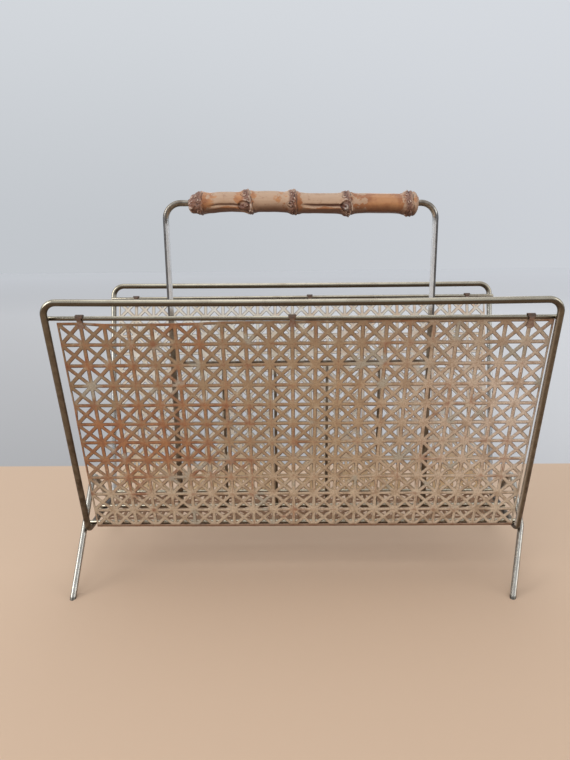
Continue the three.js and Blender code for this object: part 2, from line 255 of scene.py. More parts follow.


# %% [markdown]
# The wire is steel under a thin pale brass plating. Sixty years on, most of it still shines like a
# dull mirror, with a champagne colour. The rear uprights have kept a silvery shine, while the front
# uprights, the handle's top and the divider, which hands and magazines rub, have gone a dull brown.
# The handle's legs are painted dark on their outer sides and left bright on their inner sides, as a
# painted reflection. Undersides and the feet are painted darker, as painted shade, and silvery wires
# get a painted highlight where they face sideways. A Noise texture of a few centimetres makes cloudy
# patches and a fine one small pits. Two numbers on a wire's points say how silvery and how dull it
# is; they also carry painted shade and painted reflection.

# %% Aged brass plating
def make_brass_finish():
    finish = Finish("aged_brass_plating", Metallic=1.0)
    clouds = finish.noise(42, 5, 0.62)
    streaks = finish.noise(150, 4, 0.65)
    pitted = finish.noise(620, 3, 0.7).ramp(0.66, 0.74)
    silver, dull = finish.mark("silver"), finish.mark("dull")
    upward, height = finish.upward(), finish.place.parts()[2]
    cloudy = clouds.ramp(0.46, 0.68)
    champagne = blend(clouds, (192, 182, 158), (172, 161, 138))
    tarnish = blend(streaks.ramp(0.38, 0.64), (132, 121, 108), (96, 82, 69))
    # The dull marks hold real tarnish and also painted shade and painted reflection, which this coat
    # carries.
    dulled = (dull + streaks * 0.5).ramp(0.25, 1.15)
    plain = 0.95 - (silver + dull * 0.6)
    # Undersides, and the feet just above the floor, are painted darker: painted shade.
    under = upward.ramp(0.38, -0.14) * plain.ramp(0.0, 0.9, smooth=False)
    grime = calc("MAXIMUM", under, height.ramp(0.003, 0.0012, 0.0, 0.85))
    colour = coated(
        blend(silver, champagne, (222, 226, 230)),
        clouds=(cloudy * 0.3, blend(silver, (140, 120, 96), (166, 166, 164))),
        tarnish=(dulled, blend(silver.ramp(0.3, 0.7), tarnish, (98, 98, 99))),
        grime=(grime, (74, 68, 60)),
        pits=(pitted * 0.7, (62, 46, 32)),
    )
    # Silvery wires that face sideways are made less metallic, so that their pale colour shows as a painted
    # highlight.
    glint = silver.ramp(0.75, 0.95, 0.0, 0.62) * calc("ABSOLUTE", upward).ramp(0.8, 0.4)
    glint = glint * dulled.ramp(0.35, 0.1)
    rough = dulled.ramp(0.0, 1.0, 0.24 - silver * 0.13, 0.42, smooth=False) + cloudy * 0.08
    feed(finish.shader, {"Base Color": colour, "Metallic": 1.0 - glint, "Roughness": rough})
    finish.relief(clouds * 0.8 + pitted * -0.2, 0.2 * MM, 0.5)
    return finish.material


brass_finish = make_brass_finish()
print("made", brass_finish.name)

# %% [markdown]
# Every wire is a row of corner points. Geometry Nodes turns the row into a curve, fillets each corner
# by its own bend radius, and sweeps a circle along it. Keeping the radius on the points as an
# attribute means that one tree makes every wire of the basket, from the big closed loop to the
# shortest rod. Near a cut end the thickness drops a little, which is the burr that the cutters leave.

# %% The tree that makes a wire
SOCKET_KINDS = {int: "Int", float: "Float"}
BEND_STEPS = 12


def new_shape_tree(name, **inputs):
    """A Geometry Nodes tree and its inputs, each given by its first value or its kind."""
    tree = bpy.data.node_groups.new(name, "GeometryNodeTree")
    for label, given in {"shape": "Geometry", **inputs, "finish": "Material"}.items():
        kind = given if isinstance(given, str) else SOCKET_KINDS[type(given)]
        socket = tree.interface.new_socket(name=label, in_out="INPUT", socket_type="NodeSocket" + kind)
        if kind != given:
            socket.default_value = given
    tree.interface.new_socket(name="shape", in_out="OUTPUT", socket_type="NodeSocketGeometry")
    start = tree.nodes.new("NodeGroupInput")
    return tree, {socket.name: Value(tree, socket) for socket in start.outputs}


def finish_shape(given, shape):
    """Ends a tree: instances are made real, shading is smooth and the finish is set."""
    for kind in ("GeometryNodeRealizeInstances", "GeometryNodeSetShadeSmooth"):
        shape = get(shape.tree, kind, {"Geometry": shape})
    feeds = {"Geometry": shape, "Material": given["finish"]}
    add(shape.tree, "NodeGroupOutput", {0: get(shape.tree, "GeometryNodeSetMaterial", feeds)})
    return shape.tree


def point_value(tree, label, kind="FLOAT"):
    """What was written on the points under a name."""
    return get(tree, "GeometryNodeInputNamedAttribute", {"Name": label}, data_type=kind)


def rounded_line(row, radius, steps):
    """A row of points as a curve with rounded corners."""
    line = get(row.tree, "GeometryNodeMeshToCurve", {"Mesh": row})
    feeds = {"Curve": line, "Radius": radius, "Limit Radius": False, "Count": steps}
    return get(row.tree, "GeometryNodeFilletCurve", feeds, mode="POLY")


def make_wire_tree():
    tree, given = new_shape_tree("sweep_wire", diameter=FRAME_WIRE, sides=24)
    circle = {"Resolution": given["sides"], "Radius": given["diameter"] * 0.5}
    feeds = {
        "Curve": rounded_line(given["shape"], point_value(tree, "bend"), BEND_STEPS),
        "Profile Curve": get(tree, "GeometryNodeCurvePrimitiveCircle", circle),
        "Scale": point_value(tree, "thick"),
        "Fill Caps": True,
    }
    return finish_shape(given, get(tree, "GeometryNodeCurveToMesh", feeds))


wire_tree = make_wire_tree()

# %% [markdown]
# A modifier's inputs are set by the hidden identifier of each socket, before Blender first looks at
# the object. The result is then baked to a plain mesh and the modifier goes, so that what rides on a
# body is a simple mesh with its place in its points.

# %% Run a tree and keep the plain mesh
def new_object(name, data):
    """Puts an object in the scene, at the origin."""
    made = bpy.data.objects.new(name, data)
    bpy.context.scene.collection.objects.link(made)
    return made


def shape_with(piece, tree, **values):
    """Gives a piece the modifier that runs a tree, with its inputs by name."""
    modifier = piece.modifiers.new(tree.name, "NODES")
    modifier.node_group = tree
    for item in tree.interface.items_tree:
        if item.in_out == "INPUT" and item.name in values:
            modifier[item.identifier] = values[item.name]


def bake(piece):
    """Replaces a piece's live modifiers by the mesh that they make."""
    seen = piece.evaluated_get(bpy.context.evaluated_depsgraph_get())
    made = bpy.data.meshes.new_from_object(seen)
    piece.modifiers.clear()
    piece.data = made
    made.name = piece.name
    return piece


def run_tree(name, mesh, tree, **values):
    """An object made by a tree from a starting mesh, as a plain mesh at the origin."""
    piece = new_object(name, mesh)
    shape_with(piece, tree, **values)
    return bake(piece)


def sharpen(piece, degrees=38):
    """Smooth shading that breaks at hard edges."""
    piece.data.polygons.foreach_set("use_smooth", [True] * len(piece.data.polygons))
    piece.data.set_sharp_from_angle(angle=math.radians(degrees))


def write_marks(mesh, **marks):
    """Writes numbers on a mesh, one for each point under each name."""
    for label, numbers in marks.items():
        mesh.attributes.new(label, "FLOAT", "POINT").data.foreach_set("value", numbers)


# %% Make one wire
END_BURR = 0.45 * MM
END_THIN = 0.86
WIRE_SIDES = {FRAME_WIRE: 24, CROSS_WIRE: 20, DIVIDER_WIRE: 18}
wires = {}


def point_row(name, points, closed=False, **marks):
    """A mesh of points joined in a row."""
    mesh = bpy.data.meshes.new(name)
    edges = [(i, i + 1) for i in range(len(points) - 1)]
    if closed:
        edges.append((len(points) - 1, 0))
    mesh.from_pydata(points, edges, [])
    write_marks(mesh, **marks)
    return mesh


def with_cut_ends(corners, bends):
    """Adds a point just inside each end, so that the wire narrows to its cut face."""
    first = corners[0] + (corners[1] - corners[0]).normalized() * END_BURR
    last = corners[-1] + (corners[-2] - corners[-1]).normalized() * END_BURR
    points = [corners[0], first, *corners[1:-1], last, corners[-1]]
    thick = [END_THIN] + [1.0] * (len(points) - 2) + [END_THIN]
    return points, [0.0, 0.0, *bends[1:-1], 0.0, 0.0], thick


def make_wire(name, node, corners, diameter, bends=None, closed=False, silver=0.1, dull=0.0):
    """A wire for one node of the frame. Its plating is given by numbers or by functions of a place."""
    bends = bends or [0.0] * len(corners)
    thick = [1.0] * len(corners)
    if not closed:
        corners, bends, thick = with_cut_ends(corners, bends)
    row = point_row(name, corners, closed, bend=bends, thick=thick)
    sides = WIRE_SIDES[diameter]
    piece = run_tree(name, row, wire_tree, diameter=diameter, sides=sides, finish=brass_finish)
    sharpen(piece)
    places = [vert.co for vert in piece.data.vertices]
    for label, source in (("silver", silver), ("dull", dull)):
        known = [source(place) if callable(source) else source for place in places]
        write_marks(piece.data, **{label: known})
    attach(piece, "basket")
    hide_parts(node)
    wires[name] = piece
    return piece


# %% [markdown]
# The main frame is one loop of thick wire. It runs along the front rail, slopes down to the bottom
# run at the right end, up again to the rear rail, and back the same way on the left. Eight corners
# say all of that. A straight line would look too new, so each rail gets the slight bow that years of
# lifting have put in: the heights at its two ends and its middle are known, and a smooth curve goes
# through them.

# %% Slightly bowed lengths
BOW_STEPS = 8


def eased(value, low, high):
    """0 below the low value and 1 above the high one, with a smooth step between."""
    t = min(1.0, max(0.0, (value - low) / (high - low)))
    return t * t * (3 - 2 * t)


def bow_height(x, bow):
    """Height of a bowed wire over its straight line, from those at its left, middle and right."""
    left, middle, right = bow
    share = x / HALF_SPACING
    return middle + (right - left) / 2 * share + ((left + right) / 2 - middle) * share * share


def bowed_length(start, end, bow):
    """Points from one place to another along a bow."""
    points = [start.lerp(end, step / BOW_STEPS) for step in range(BOW_STEPS + 1)]
    return [point + Vector((0, 0, bow_height(point.x, bow))) for point in points]


# %% The main loop
FRONT_RAIL_BOW = (1.6 * MM, 0.0, 0.8 * MM)
REAR_RAIL_BOW = (0.0, -1.0 * MM, -0.9 * MM)
WEAR_DROP = 17 * MM


def on_upright(place, gap):
    """1 on the uprights and 0 on the rails, with a soft step that ends a gap below the rails."""
    return 1 - eased(place.z, RAIL_HEIGHT - WEAR_DROP, RAIL_HEIGHT - gap)


def right_inner_side(place, low, high):
    """How far a place is round to the inner side of the right end's wire."""
    inward = (end_point(HALF_SPACING, place.y, place.z).x - place.x) / (FRAME_WIRE / 2)
    return eased(inward, low, high) if place.x > 0 else 0.0


def loop_silver(place):
    """The rear uprights have kept their shine. The inner side of the right front one is painted silvery, a
    painted reflection.
    """
    if place.y > 0:
        return 0.1 + 0.85 * on_upright(place, 9 * MM)
    return 0.1 + 0.75 * on_upright(place, 3 * MM) * right_inner_side(place, 0.35, 0.85)


def loop_dullness(place):
    """Front uprights brown from under the rail, the right one's inner side bright as a painted reflection;
    bottom runs dark as painted shade.
    """
    if place.z < RUN_HEIGHT + 4 * MM:
        return 0.8
    if place.y > -RUN_HALF_DEPTH + 2 * MM:
        return 0.05
    return 0.05 + (0.72 - 0.65 * right_inner_side(place, 0.1, 0.6)) * on_upright(place, 3 * MM)


def make_main_loop():
    """The front rail goes to the right and the rear rail comes back, each with the run after it."""
    corners, bends = [], []
    for side, bow in ((-1, FRONT_RAIL_BOW), (1, REAR_RAIL_BOW)):
        start, end = side * HALF_SPACING, -side * HALF_SPACING
        rail = [end_point(x, side * RAIL_HALF_DEPTH, RAIL_HEIGHT) for x in (start, end)]
        run = [end_point(end, turn * side * RUN_HALF_DEPTH, RUN_HEIGHT) for turn in (1, -1)]
        corners += bowed_length(*rail, bow) + run
        bends += [RAIL_BEND] + [0.0] * (BOW_STEPS - 1) + [RAIL_BEND, RUN_BEND, RUN_BEND]
    plating = {"silver": loop_silver, "dull": loop_dullness}
    return make_wire("main_loop_wire", "main_frame", corners, FRAME_WIRE, bends, closed=True, **plating)


main_loop = make_main_loop()
print("main loop is", [round(v * 1000, 1) for v in main_loop.dimensions], "mm")
print("main loop has", len(main_loop.data.vertices), "points")

# %% [markdown]
# The crossbars and bottom wires are plain straight lengths. The crossbars lap the uprights on the
# inside, a finger's width under the rails, and the bottom wires lie over the two end runs.

# %% Wires across the frame
FRONT_CROSSBAR_BOW = (1.4 * MM, 0.0, -0.6 * MM)
REAR_CROSSBAR_BOW = (0.0, 0.0, 0.0)
REAR_LEFT_END_PAST = 0.6 * MM
CROSSBARS = (
    ("front", -1, CROSSBAR_END_PAST, FRONT_CROSSBAR_BOW),
    ("rear", 1, REAR_LEFT_END_PAST, REAR_CROSSBAR_BOW),
)


def make_cross_wires():
    right = HALF_SPACING + CROSSBAR_END_PAST
    for word, side, left_past, bow in CROSSBARS:
        reach = (-HALF_SPACING - left_past, right)
        ends = [end_point(x, side * CROSSBAR_DEPTH, CROSSBAR_HEIGHT) for x in reach]
        line = bowed_length(*ends, bow)
        bar = make_wire(f"{word}_crossbar_wire", f"{word}_crossbar", line, CROSS_WIRE, dull=0.12)
        print(bar.name, "has", len(bar.data.vertices), "points")
    reach = HALF_SPACING + BOTTOM_WIRE_END_PAST
    for word, depth in (("front", -BEND_WIRE_DEPTH), ("centre", 0.0), ("rear", BEND_WIRE_DEPTH)):
        ends = [end_point(x, depth, BOTTOM_WIRE_HEIGHT) for x in (-reach, reach)]
        make_wire(f"bottom_{word}_cross_wire", f"bottom_{word}_wire", ends, CROSS_WIRE)


make_cross_wires()

# %% [markdown]
# Each leg is one wire bent to an upturned V outside the end frame. It is drawn on below the floor and
# cut off level there, so that the slanting feet stand flat. The right leg's front foot has been
# pushed inwards at some time, and bends just below its weld.

# %% Legs
def cut_at_floor(piece):
    """Cuts a piece off at the floor and closes the cut."""
    form = bmesh.new()
    form.from_mesh(piece.data)
    everything = [*form.verts, *form.edges, *form.faces]
    floor = {"plane_co": (0, 0, 0), "plane_no": (0, 0, -1), "clear_outer": True}
    cut = bmesh.ops.bisect_plane(form, geom=everything, **floor)["geom_cut"]
    rim = [part for part in cut if isinstance(part, bmesh.types.BMEdge)]
    bmesh.ops.holes_fill(form, edges=rim)
    bmesh.ops.recalc_face_normals(form, faces=form.faces)
    form.to_mesh(piece.data)
    form.free()
    sharpen(piece)


def make_leg(word, plane, inset):
    foot_depth = FOOT_HALF_SPREAD + LEG_FALL * BELOW_FLOOR
    corners = [end_point(plane, foot_depth, -BELOW_FLOOR), end_point(plane, 0, LEG_APEX_HEIGHT)]
    bends = [0.0, LEG_BEND]
    if inset > 0:
        corners.append(end_point(plane, -LEG_WELD_DEPTH, RUN_HEIGHT))
        bends.append(WELD_BEND)
    reach = inset * (1 + BELOW_FLOOR / RUN_HEIGHT)
    corners.append(Vector((plane - reach, -foot_depth, -BELOW_FLOOR)))
    bends.append(0.0)
    leg = make_wire(f"{word}_leg_wire", f"{word}_leg", corners, FRAME_WIRE, bends, silver=0.4, dull=0.3)
    cut_at_floor(leg)


make_leg("left", -LEG_PLANE, 0.0)
make_leg("right", LEG_PLANE, RIGHT_FOOT_INSET)

# %% [markdown]
# The handle is an arch on the middle bottom wire. Its legs get a point wherever their plating starts
# or stops changing, because a mark is blended evenly from point to point. The divider between them
# is a thin bar with four thin rods below it, which keeps the magazines of the two halves apart.

# %% Handle and divider
WALL_START, WALL_END = CROSSBAR_HEIGHT - 20 * MM, CROSSBAR_HEIGHT + 2 * MM
BEND_START = HANDLE_HEIGHT - 20 * MM
LEG_STOPS = (HANDLE_FOOT, WALL_START, WALL_END, BEND_START - 10 * MM, BEND_START)


def above_walls(place):
    """The handle's legs are painted browner between the walls, as painted shade: 0 there and 1 above."""
    return eased(place.z, WALL_START, WALL_END)


def handle_silver(place):
    """Silvery legs, less silvery between the walls as painted shade, and a browner top from the bends on.
    """
    return 0.25 + 0.7 * above_walls(place) - 0.65 * eased(place.z, BEND_START, HANDLE_HEIGHT - 3 * MM)


def handle_dullness(place):
    """The legs' outer side is painted dull and the inner side left bright, a painted reflection; the top
    has dulled, and the legs are painted dull between the walls as painted shade.
    """
    outward = (abs(place.x) - HANDLE_HALF_SPAN) / (FRAME_WIRE / 2)
    top = eased(place.z, HANDLE_HEIGHT - 10 * MM, HANDLE_HEIGHT - 2 * MM)
    return max(eased(outward, -0.05, 0.4), 0.6 * top, 0.6 * (1 - above_walls(place)))


def make_handle_and_divider():
    fall = HANDLE_SLOPE * HANDLE_HALF_SPAN
    arch = [
        *(Vector((-HANDLE_HALF_SPAN, 0, z)) for z in LEG_STOPS),
        Vector((-HANDLE_HALF_SPAN, 0, HANDLE_HEIGHT - fall)),
        Vector((HANDLE_HALF_SPAN, 0, HANDLE_HEIGHT + fall)),
        *(Vector((HANDLE_HALF_SPAN, 0, z)) for z in reversed(LEG_STOPS)),
    ]
    straight = [0.0] * len(LEG_STOPS)
    bends = [*straight, HANDLE_BEND, HANDLE_BEND, *straight]
    plating = {"silver": handle_silver, "dull": handle_dullness}
    make_wire("handle_arch_wire", "handle_wire", arch, FRAME_WIRE, bends, **plating)
    reach = HANDLE_HALF_SPAN - FRAME_WIRE / 2 - WELD_GAP
    bar = [Vector((x, 0, DIVIDER_HEIGHT)) for x in (-reach, reach)]
    make_wire("divider_bar_wire", "divider_bar", bar, DIVIDER_WIRE, dull=0.8)
    top = DIVIDER_HEIGHT - DIVIDER_WIRE / 2 - WELD_GAP
    for i, x in enumerate(ROD_PLACES, 1):
        rod = [Vector((x, 0, HANDLE_FOOT)), Vector((x, 0, top))]
        make_wire(f"divider_rod_wire_{i}", f"divider_rod_{i}", rod, DIVIDER_WIRE, silver=0.2, dull=0.65)


make_handle_and_divider()
print("made", len(wires), "wires")

# %% [markdown]
# Where two wires touch, the welding tongs melted them together and squeezed out a small rounded
# collar. There are twenty-six of these, all alike but for their size, so they are instances: a
# point at each joint, with its size and the direction that the collar faces.

# %% Weld collars
LAP_WELD = 2.3 * MM
LEG_WELD = 2.9 * MM
HANDLE_WELD = 3.5 * MM
BAR_WELD = 1.9 * MM
ROD_WELD = 1.7 * MM


def make_weld_tree():
    tree, given = new_shape_tree("weld_collars", flatness=0.5, seed=7)
    size = point_value(tree, "size")
    facing = {"Vector": point_value(tree, "facing", "FLOAT_VECTOR")}
    spread = {2: 0.9, 3: 1.15, "Seed": given["seed"]}
    wide = size * get(tree, "FunctionNodeRandomValue", spread, out=1, data_type="FLOAT")
    feeds = {
        "Points": given["shape"],
        "Instance": get(tree, "GeometryNodeMeshIcoSphere", {"Radius": 1.0, "Subdivisions": 3}),
        "Rotation": get(tree, "FunctionNodeAlignRotationToVector", facing, axis="Z"),
        "Scale": get(tree, "ShaderNodeCombineXYZ", {0: wide, 1: wide, 2: size * given["flatness"]}),
    }
    return finish_shape(given, get(tree, "GeometryNodeInstanceOnPoints", feeds))


def weld_places():
    """Each weld: its middle, the direction across the joint, and its size."""
    up = Vector((0, 0, 1))
    for x in (-HALF_SPACING, HALF_SPACING):
        for _, side, _, bow in CROSSBARS:
            across = Vector((0, side * math.cos(SIDE_TILT), -math.sin(SIDE_TILT)))
            bar = end_point(x, side * CROSSBAR_DEPTH, CROSSBAR_HEIGHT + bow_height(x, bow))
            yield bar + across * (CROSS_WIRE / 2), across, LAP_WELD
        for depth in (-BEND_WIRE_DEPTH, 0.0, BEND_WIRE_DEPTH):
            yield end_point(x, depth, BOTTOM_WIRE_HEIGHT - CROSS_WIRE / 2), up, LAP_WELD
        outward = Vector((math.copysign(1, x), 0, 0))
        for depth in (-LEG_WELD_DEPTH, LEG_WELD_DEPTH):
            yield end_point(x, depth, RUN_HEIGHT) + outward * (FRAME_WIRE / 2), outward, LEG_WELD
    for x in (-HANDLE_HALF_SPAN, HANDLE_HALF_SPAN):
        inward = Vector((-math.copysign(1, x), 0, 0))
        yield Vector((x, 0, HANDLE_FOOT)), up, HANDLE_WELD
        yield Vector((x, 0, DIVIDER_HEIGHT)) + inward * (FRAME_WIRE / 2), inward, BAR_WELD
    for x in ROD_PLACES:
        yield Vector((x, 0, HANDLE_FOOT)), up, BAR_WELD
        yield Vector((x, 0, DIVIDER_HEIGHT - DIVIDER_WIRE / 2)), up, ROD_WELD


def make_weld_collars():
    places, directions, sizes = zip(*weld_places())
    mesh = bpy.data.meshes.new("weld_points")
    mesh.from_pydata(places, [], [])
    write_marks(mesh, size=sizes)
    facing = mesh.attributes.new("facing", "FLOAT_VECTOR", "POINT")
    facing.data.foreach_set("vector", [part for direction in directions for part in direction])
    collars = run_tree("weld_collars", mesh, make_weld_tree(), finish=brass_finish)
    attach(collars, "basket")
    print("made", len(places), "weld collars")


make_weld_collars()

# %% [markdown]
# The sheet is thin plated steel, punched with three-cornered holes that leave eight-armed stars on a
# square grid. Outside it has dulled, and rust has crept over it from the left, while the right end
# keeps a pale, pinkish cream. The lower rows are painted paler still, as painted light. A few stars
# have kept a grey shine. The inside, which magazines have covered, is much paler, and the basket's
# floor is painted paler again, as painted light. Along each hole the punch dragged the edge down, and
# soil has darkened it; more dark is painted on the front wall's lower and right bar edges, on edges
# that face down and along the fold, as painted shade. Marks on the mesh say where the rims, the
# stars' middles and the inside are.

# %% Aged sheet
def make_sheet_finish():
    finish = Finish("aged_punched_sheet")
    x, _, z = finish.place.parts()
    upward = finish.upward()
    patches = finish.noise(30, 4, 0.6)
    tints = finish.noise(75, 4, 0.62)
    stains = finish.noise(160, 4, 0.65)
    grains = finish.noise(950, 3, 0.7)
    shine = finish.noise(44, 2, 0.4).ramp(0.62, 0.7)
    hub, rim, inner = (finish.mark(label) for label in ("hub", "rim", "inner"))
    tone = coated(
        blend(x.ramp(-0.19, 0.04, smooth=False), (150, 130, 104), (181, 158, 129)),
        right_cream=(x.ramp(0.04, 0.19, smooth=False), (219, 205, 190)),
        # The lower rows are painted paler: painted light.
        low_cream=(z.ramp(0.15, 0.07) * 0.8, (214, 198, 175)),
        top_brown=(z.ramp(0.205, 0.255, 0.0, 0.6, smooth=False), (134, 115, 92)),
        tan_tint=(tints.ramp(0.48, 0.64, 0.0, 0.55), (154, 130, 104)),
        grey_tint=(tints.ramp(0.46, 0.34, 0.0, 0.5), (197, 188, 168)),
    )
    band = z.ramp(0.07, 0.12) * z.ramp(0.2, 0.15, 0.5, 1.0)
    creep = x.ramp(0.04, -0.15) * band + hub * 0.5
    rusted = (creep * 0.26 + (patches * 0.9 + stains * 0.6)).ramp(0.8, 1.12, 0.0, 0.9)
    outside = coated(
        tone,
        rust=(rusted, blend(stains.ramp(0.4, 0.62), (170, 116, 76), (142, 92, 64))),
        kept_shine=(shine * 0.75, (172, 172, 160)),
        grain=(grains.ramp(0.42, 0.6, 0.0, 0.36), (112, 82, 60)),
        pits=(grains.ramp(0.62, 0.72) * 0.45, (96, 64, 44)),
    )
    peach = calc("MAXIMUM", hub, stains.ramp(0.44, 0.6)) * x.ramp(-0.08, 0.12, 0.0, 0.85)
    inside_tone = coated(
        blend(tints.ramp(0.4, 0.66), (216, 212, 202), (207, 197, 180)),
        peach=(rusted * 0.12 + peach * 0.55, (206, 162, 126)),
        # The basket's floor inside is painted paler: painted light where it lies in shade.
        basket_floor=(z.ramp(0.125, 0.06, 0.0, 0.85), (226, 192, 146)),
    )
    # Rims that face down get more of the dark edge colour: painted shade on top of real soil.
    kept = upward.ramp(0.15, -0.35, 0.6, 0.95) * inner.ramp(0, 1, 1.0, 0.65)
    colour = coated(
        outside,
        inside=(inner, inside_tone),
        dirt=(rim.ramp(0.02, 0.75) * kept, blend(rusted, (74, 54, 41), (58, 34, 22))),
        # Edges that face down and the fold along the bottom are painted darker: painted shade.
        lower_edges=(upward.ramp(-0.28, -0.56, 0.0, 0.55), (84, 60, 46)),
        fold=(z.ramp(0.0542, 0.0512, 0.0, 0.8), (116, 76, 52)),
    )
    metal = rusted.ramp(0.0, 1.0, 0.3, 0.08, smooth=False)
    rough = rusted.ramp(0.0, 1.0, 0.46, 0.78, smooth=False)
    feed(finish.shader, {"Base Color": colour, "Metallic": metal, "Roughness": rough})
    finish.relief(grains * 0.35 + stains * 0.65, 0.4 * MM, 0.6)
    return finish.material


sheet_finish = make_sheet_finish()

# %% [markdown]
# One cell of the pattern is the square between four stars. Its two diagonals part it into four
# triangles, and each triangle, drawn in by half an arm's width and rounded at its corners, is a hole.
# A second line round each hole marks where the punch starts to drag the edge down. The cell is
# meshed flat by a Delaunay triangulation, whose triangles inside the holes are thrown away.

# %% Sheet sizes
COLUMNS = 21
WALL_ROWS = 11
FLOOR_ROWS = 4
ROWS = 2 * WALL_ROWS + FLOOR_ROWS
ARM_WIDTH = 3.05 * MM
HOLE_CORNER = 0.3 * MM
DRAG_WIDTH = 0.65 * MM
DRAG_DEPTH = 0.34 * MM
CORNER_POINTS = 3
TOP_STRIP = 0.7 * MM
MERGE_WITHIN = 0.02 * MM

wall_length = (WALL_TOP_HEIGHT - FLOOR_HEIGHT) / math.cos(SIDE_TILT)
fold_turn = math.pi / 2 - SIDE_TILT
fold_tangent = SEAT_RADIUS * math.tan(fold_turn / 2)
fold_arc = SEAT_RADIUS * fold_turn
floor_straight = 2 * (sheet_depth(FLOOR_HEIGHT) - fold_tangent)
sheet_length = 2 * (wall_length - fold_tangent) + 2 * fold_arc + floor_straight
cell_width = (SHEET_RIGHT - SHEET_LEFT) / COLUMNS
cell_length = (sheet_length - 2 * TOP_STRIP) / ROWS
print(f"the flat sheet is {sheet_length * 1000:.0f} mm long, in cells of {cell_length * 1000:.2f} mm")


# %% One punched cell
SHADE_LEAST, SHADE_SLOPE = 0.38, 1.4


def held(value, least=0.0):
    """A value held between the least and 1."""
    return min(1.0, max(least, value))


def drawn_in(corners, inset):
    """A triangle's corners, drawn in by the same distance on all three sides."""
    a, b, c = corners
    lengths = [(b - c).length, (c - a).length, (a - b).length]
    around = sum(lengths)
    middle = (a * lengths[0] + b * lengths[1] + c * lengths[2]) / around
    area = abs((b - a).cross(c - a)) / 2
    shrink = 1 - inset * around / (2 * area)
    return [middle + (corner - middle) * shrink for corner in corners]


def rounded_hole(corners, inset, radius):
    """A hole's outline: the drawn-in triangle with each corner rounded by a few points."""
    inner = drawn_in(corners, inset)
    outline = []
    for i, corner in enumerate(inner):
        back = (inner[i - 1] - corner).normalized()
        on = (inner[(i + 1) % 3] - corner).normalized()
        half = back.angle(on) / 2
        centre = corner + (back + on).normalized() * (radius / math.sin(half))
        start = corner + back * (radius / math.tan(half)) - centre
        end = corner + on * (radius / math.tan(half)) - centre
        for step in range(CORNER_POINTS):
            share = step / (CORNER_POINTS - 1)
            outline.append(centre + (start * (1 - share) + end * share).normalized() * radius)
    return outline


def middle_of(points):
    return sum(points, Vector((0, 0))) / len(points)


def is_inside(point, ring):
    """True where a point lies inside a ring that turns one way only."""
    ahead = ring[1:] + ring[:1]
    return len({(on - here).cross(point - here) > 0 for here, on in zip(ring, ahead)}) == 1


def key(point):
    return tuple(round(part, 7) for part in point)


def make_cell():
    """The flat cell from its corner at the origin, with marks for the holes' rims, weighted for painted
    shade, and the stars.
    """
    square = [Vector((x * cell_width, y * cell_length)) for x, y in ((0, 0), (1, 0), (1, 1), (0, 1))]
    centre = Vector((cell_width / 2, cell_length / 2))
    points, holes = list(square), []
    edges = [(0, 1), (1, 2), (2, 3), (3, 0)]
    for i in range(4):
        corners = [square[i], square[(i + 1) % 4], centre]
        for drag in (DRAG_WIDTH, 0.0):
            ring = rounded_hole(corners, ARM_WIDTH / 2 - drag, HOLE_CORNER + drag)
            first = len(points)
            points += ring
            edges += [(first + k, first + (k + 1) % len(ring)) for k in range(len(ring))]
        holes.append(ring)
    made = geometry.delaunay_2d_cdt(points, edges, [], 0, 1e-7)
    verts, faces = made[0], made[2]
    middles = [middle_of([verts[v] for v in face]) for face in faces]
    kept = [face for face, m in zip(faces, middles) if not any(is_inside(m, ring) for ring in holes)]
    # Each rim point is weighted by its side of the hole: the lower and right edges of the front wall's bars
    # get the most of the dark edge colour, as painted shade.
    shaded = {}
    for ring in holes:
        middle = middle_of(ring)
        for point in ring:
            towards = (middle - point).normalized()
            away = held(SHADE_SLOPE * max(towards.x, towards.y))
            shaded[key(point)] = SHADE_LEAST + (1 - SHADE_LEAST) * away
    rim = [shaded.get(key(v), 0.0) for v in verts]
    hub = [float(min((v - corner).length for corner in square) < HOLE_CORNER) for v in verts]
    mesh = bpy.data.meshes.new("star_cell")
    mesh.from_pydata([(v.x, v.y, 0.0) for v in verts], [], kept)
    write_marks(mesh, rim=rim, hub=hub)
    print("one cell has", len(kept), "triangles and", len(shaded), "points on its holes")
    return mesh


star_cell = make_cell()

# %% [markdown]
# Punching is repetition, so Geometry Nodes does it: a grid of points, the cell as an instance on each
# point, and a merge that joins neighbours along their shared edges. The finished flat sheet is then
# extended a little past its first and last row of stars, as the real one is.

# %% Punch the flat sheet
def make_punch_tree():
    sizes = {"columns": COLUMNS, "rows": ROWS, "width": cell_width, "length": cell_length}
    tree, given = new_shape_tree("punch_sheet", **sizes)
    across = (given["columns"] - 1) * given["width"]
    along = (given["rows"] - 1) * given["length"]
    feeds = {"Size X": across, "Size Y": along, "Vertices X": given["columns"], "Vertices Y": given["rows"]}
    grid = get(tree, "GeometryNodeMeshGrid", feeds)
    to_corner = get(tree, "ShaderNodeCombineXYZ", {0: across * 0.5, 1: along * 0.5})
    moved = get(tree, "GeometryNodeSetPosition", {"Geometry": grid, "Offset": to_corner})
    cells = get(tree, "GeometryNodeInstanceOnPoints", {"Points": moved, "Instance": given["shape"]})
    real = get(tree, "GeometryNodeRealizeInstances", {"Geometry": cells})
    joined = get(tree, "GeometryNodeMergeByDistance", {"Geometry": real, "Distance": MERGE_WITHIN})
    return finish_shape(given, joined)


sheet = run_tree("star_punched_sheet", star_cell, make_punch_tree(), finish=sheet_finish)
print("the flat sheet has", len(sheet.data.polygons), "faces")


# %% Score the folds
SAG = 1.3 * MM
SAG_LEFT, SAG_LEFT_EASE = -178 * MM, 14 * MM
SAG_RIGHT, SAG_RIGHT_EASE = -60 * MM, 34 * MM
SAG_DEPTH = 13 * MM
DENT = 1.3 * MM
DENT_HEIGHT = 176 * MM
DENT_WIDTH, DENT_REACH = 4.5 * MM, 4 * MM
FOLD_STEPS = 4


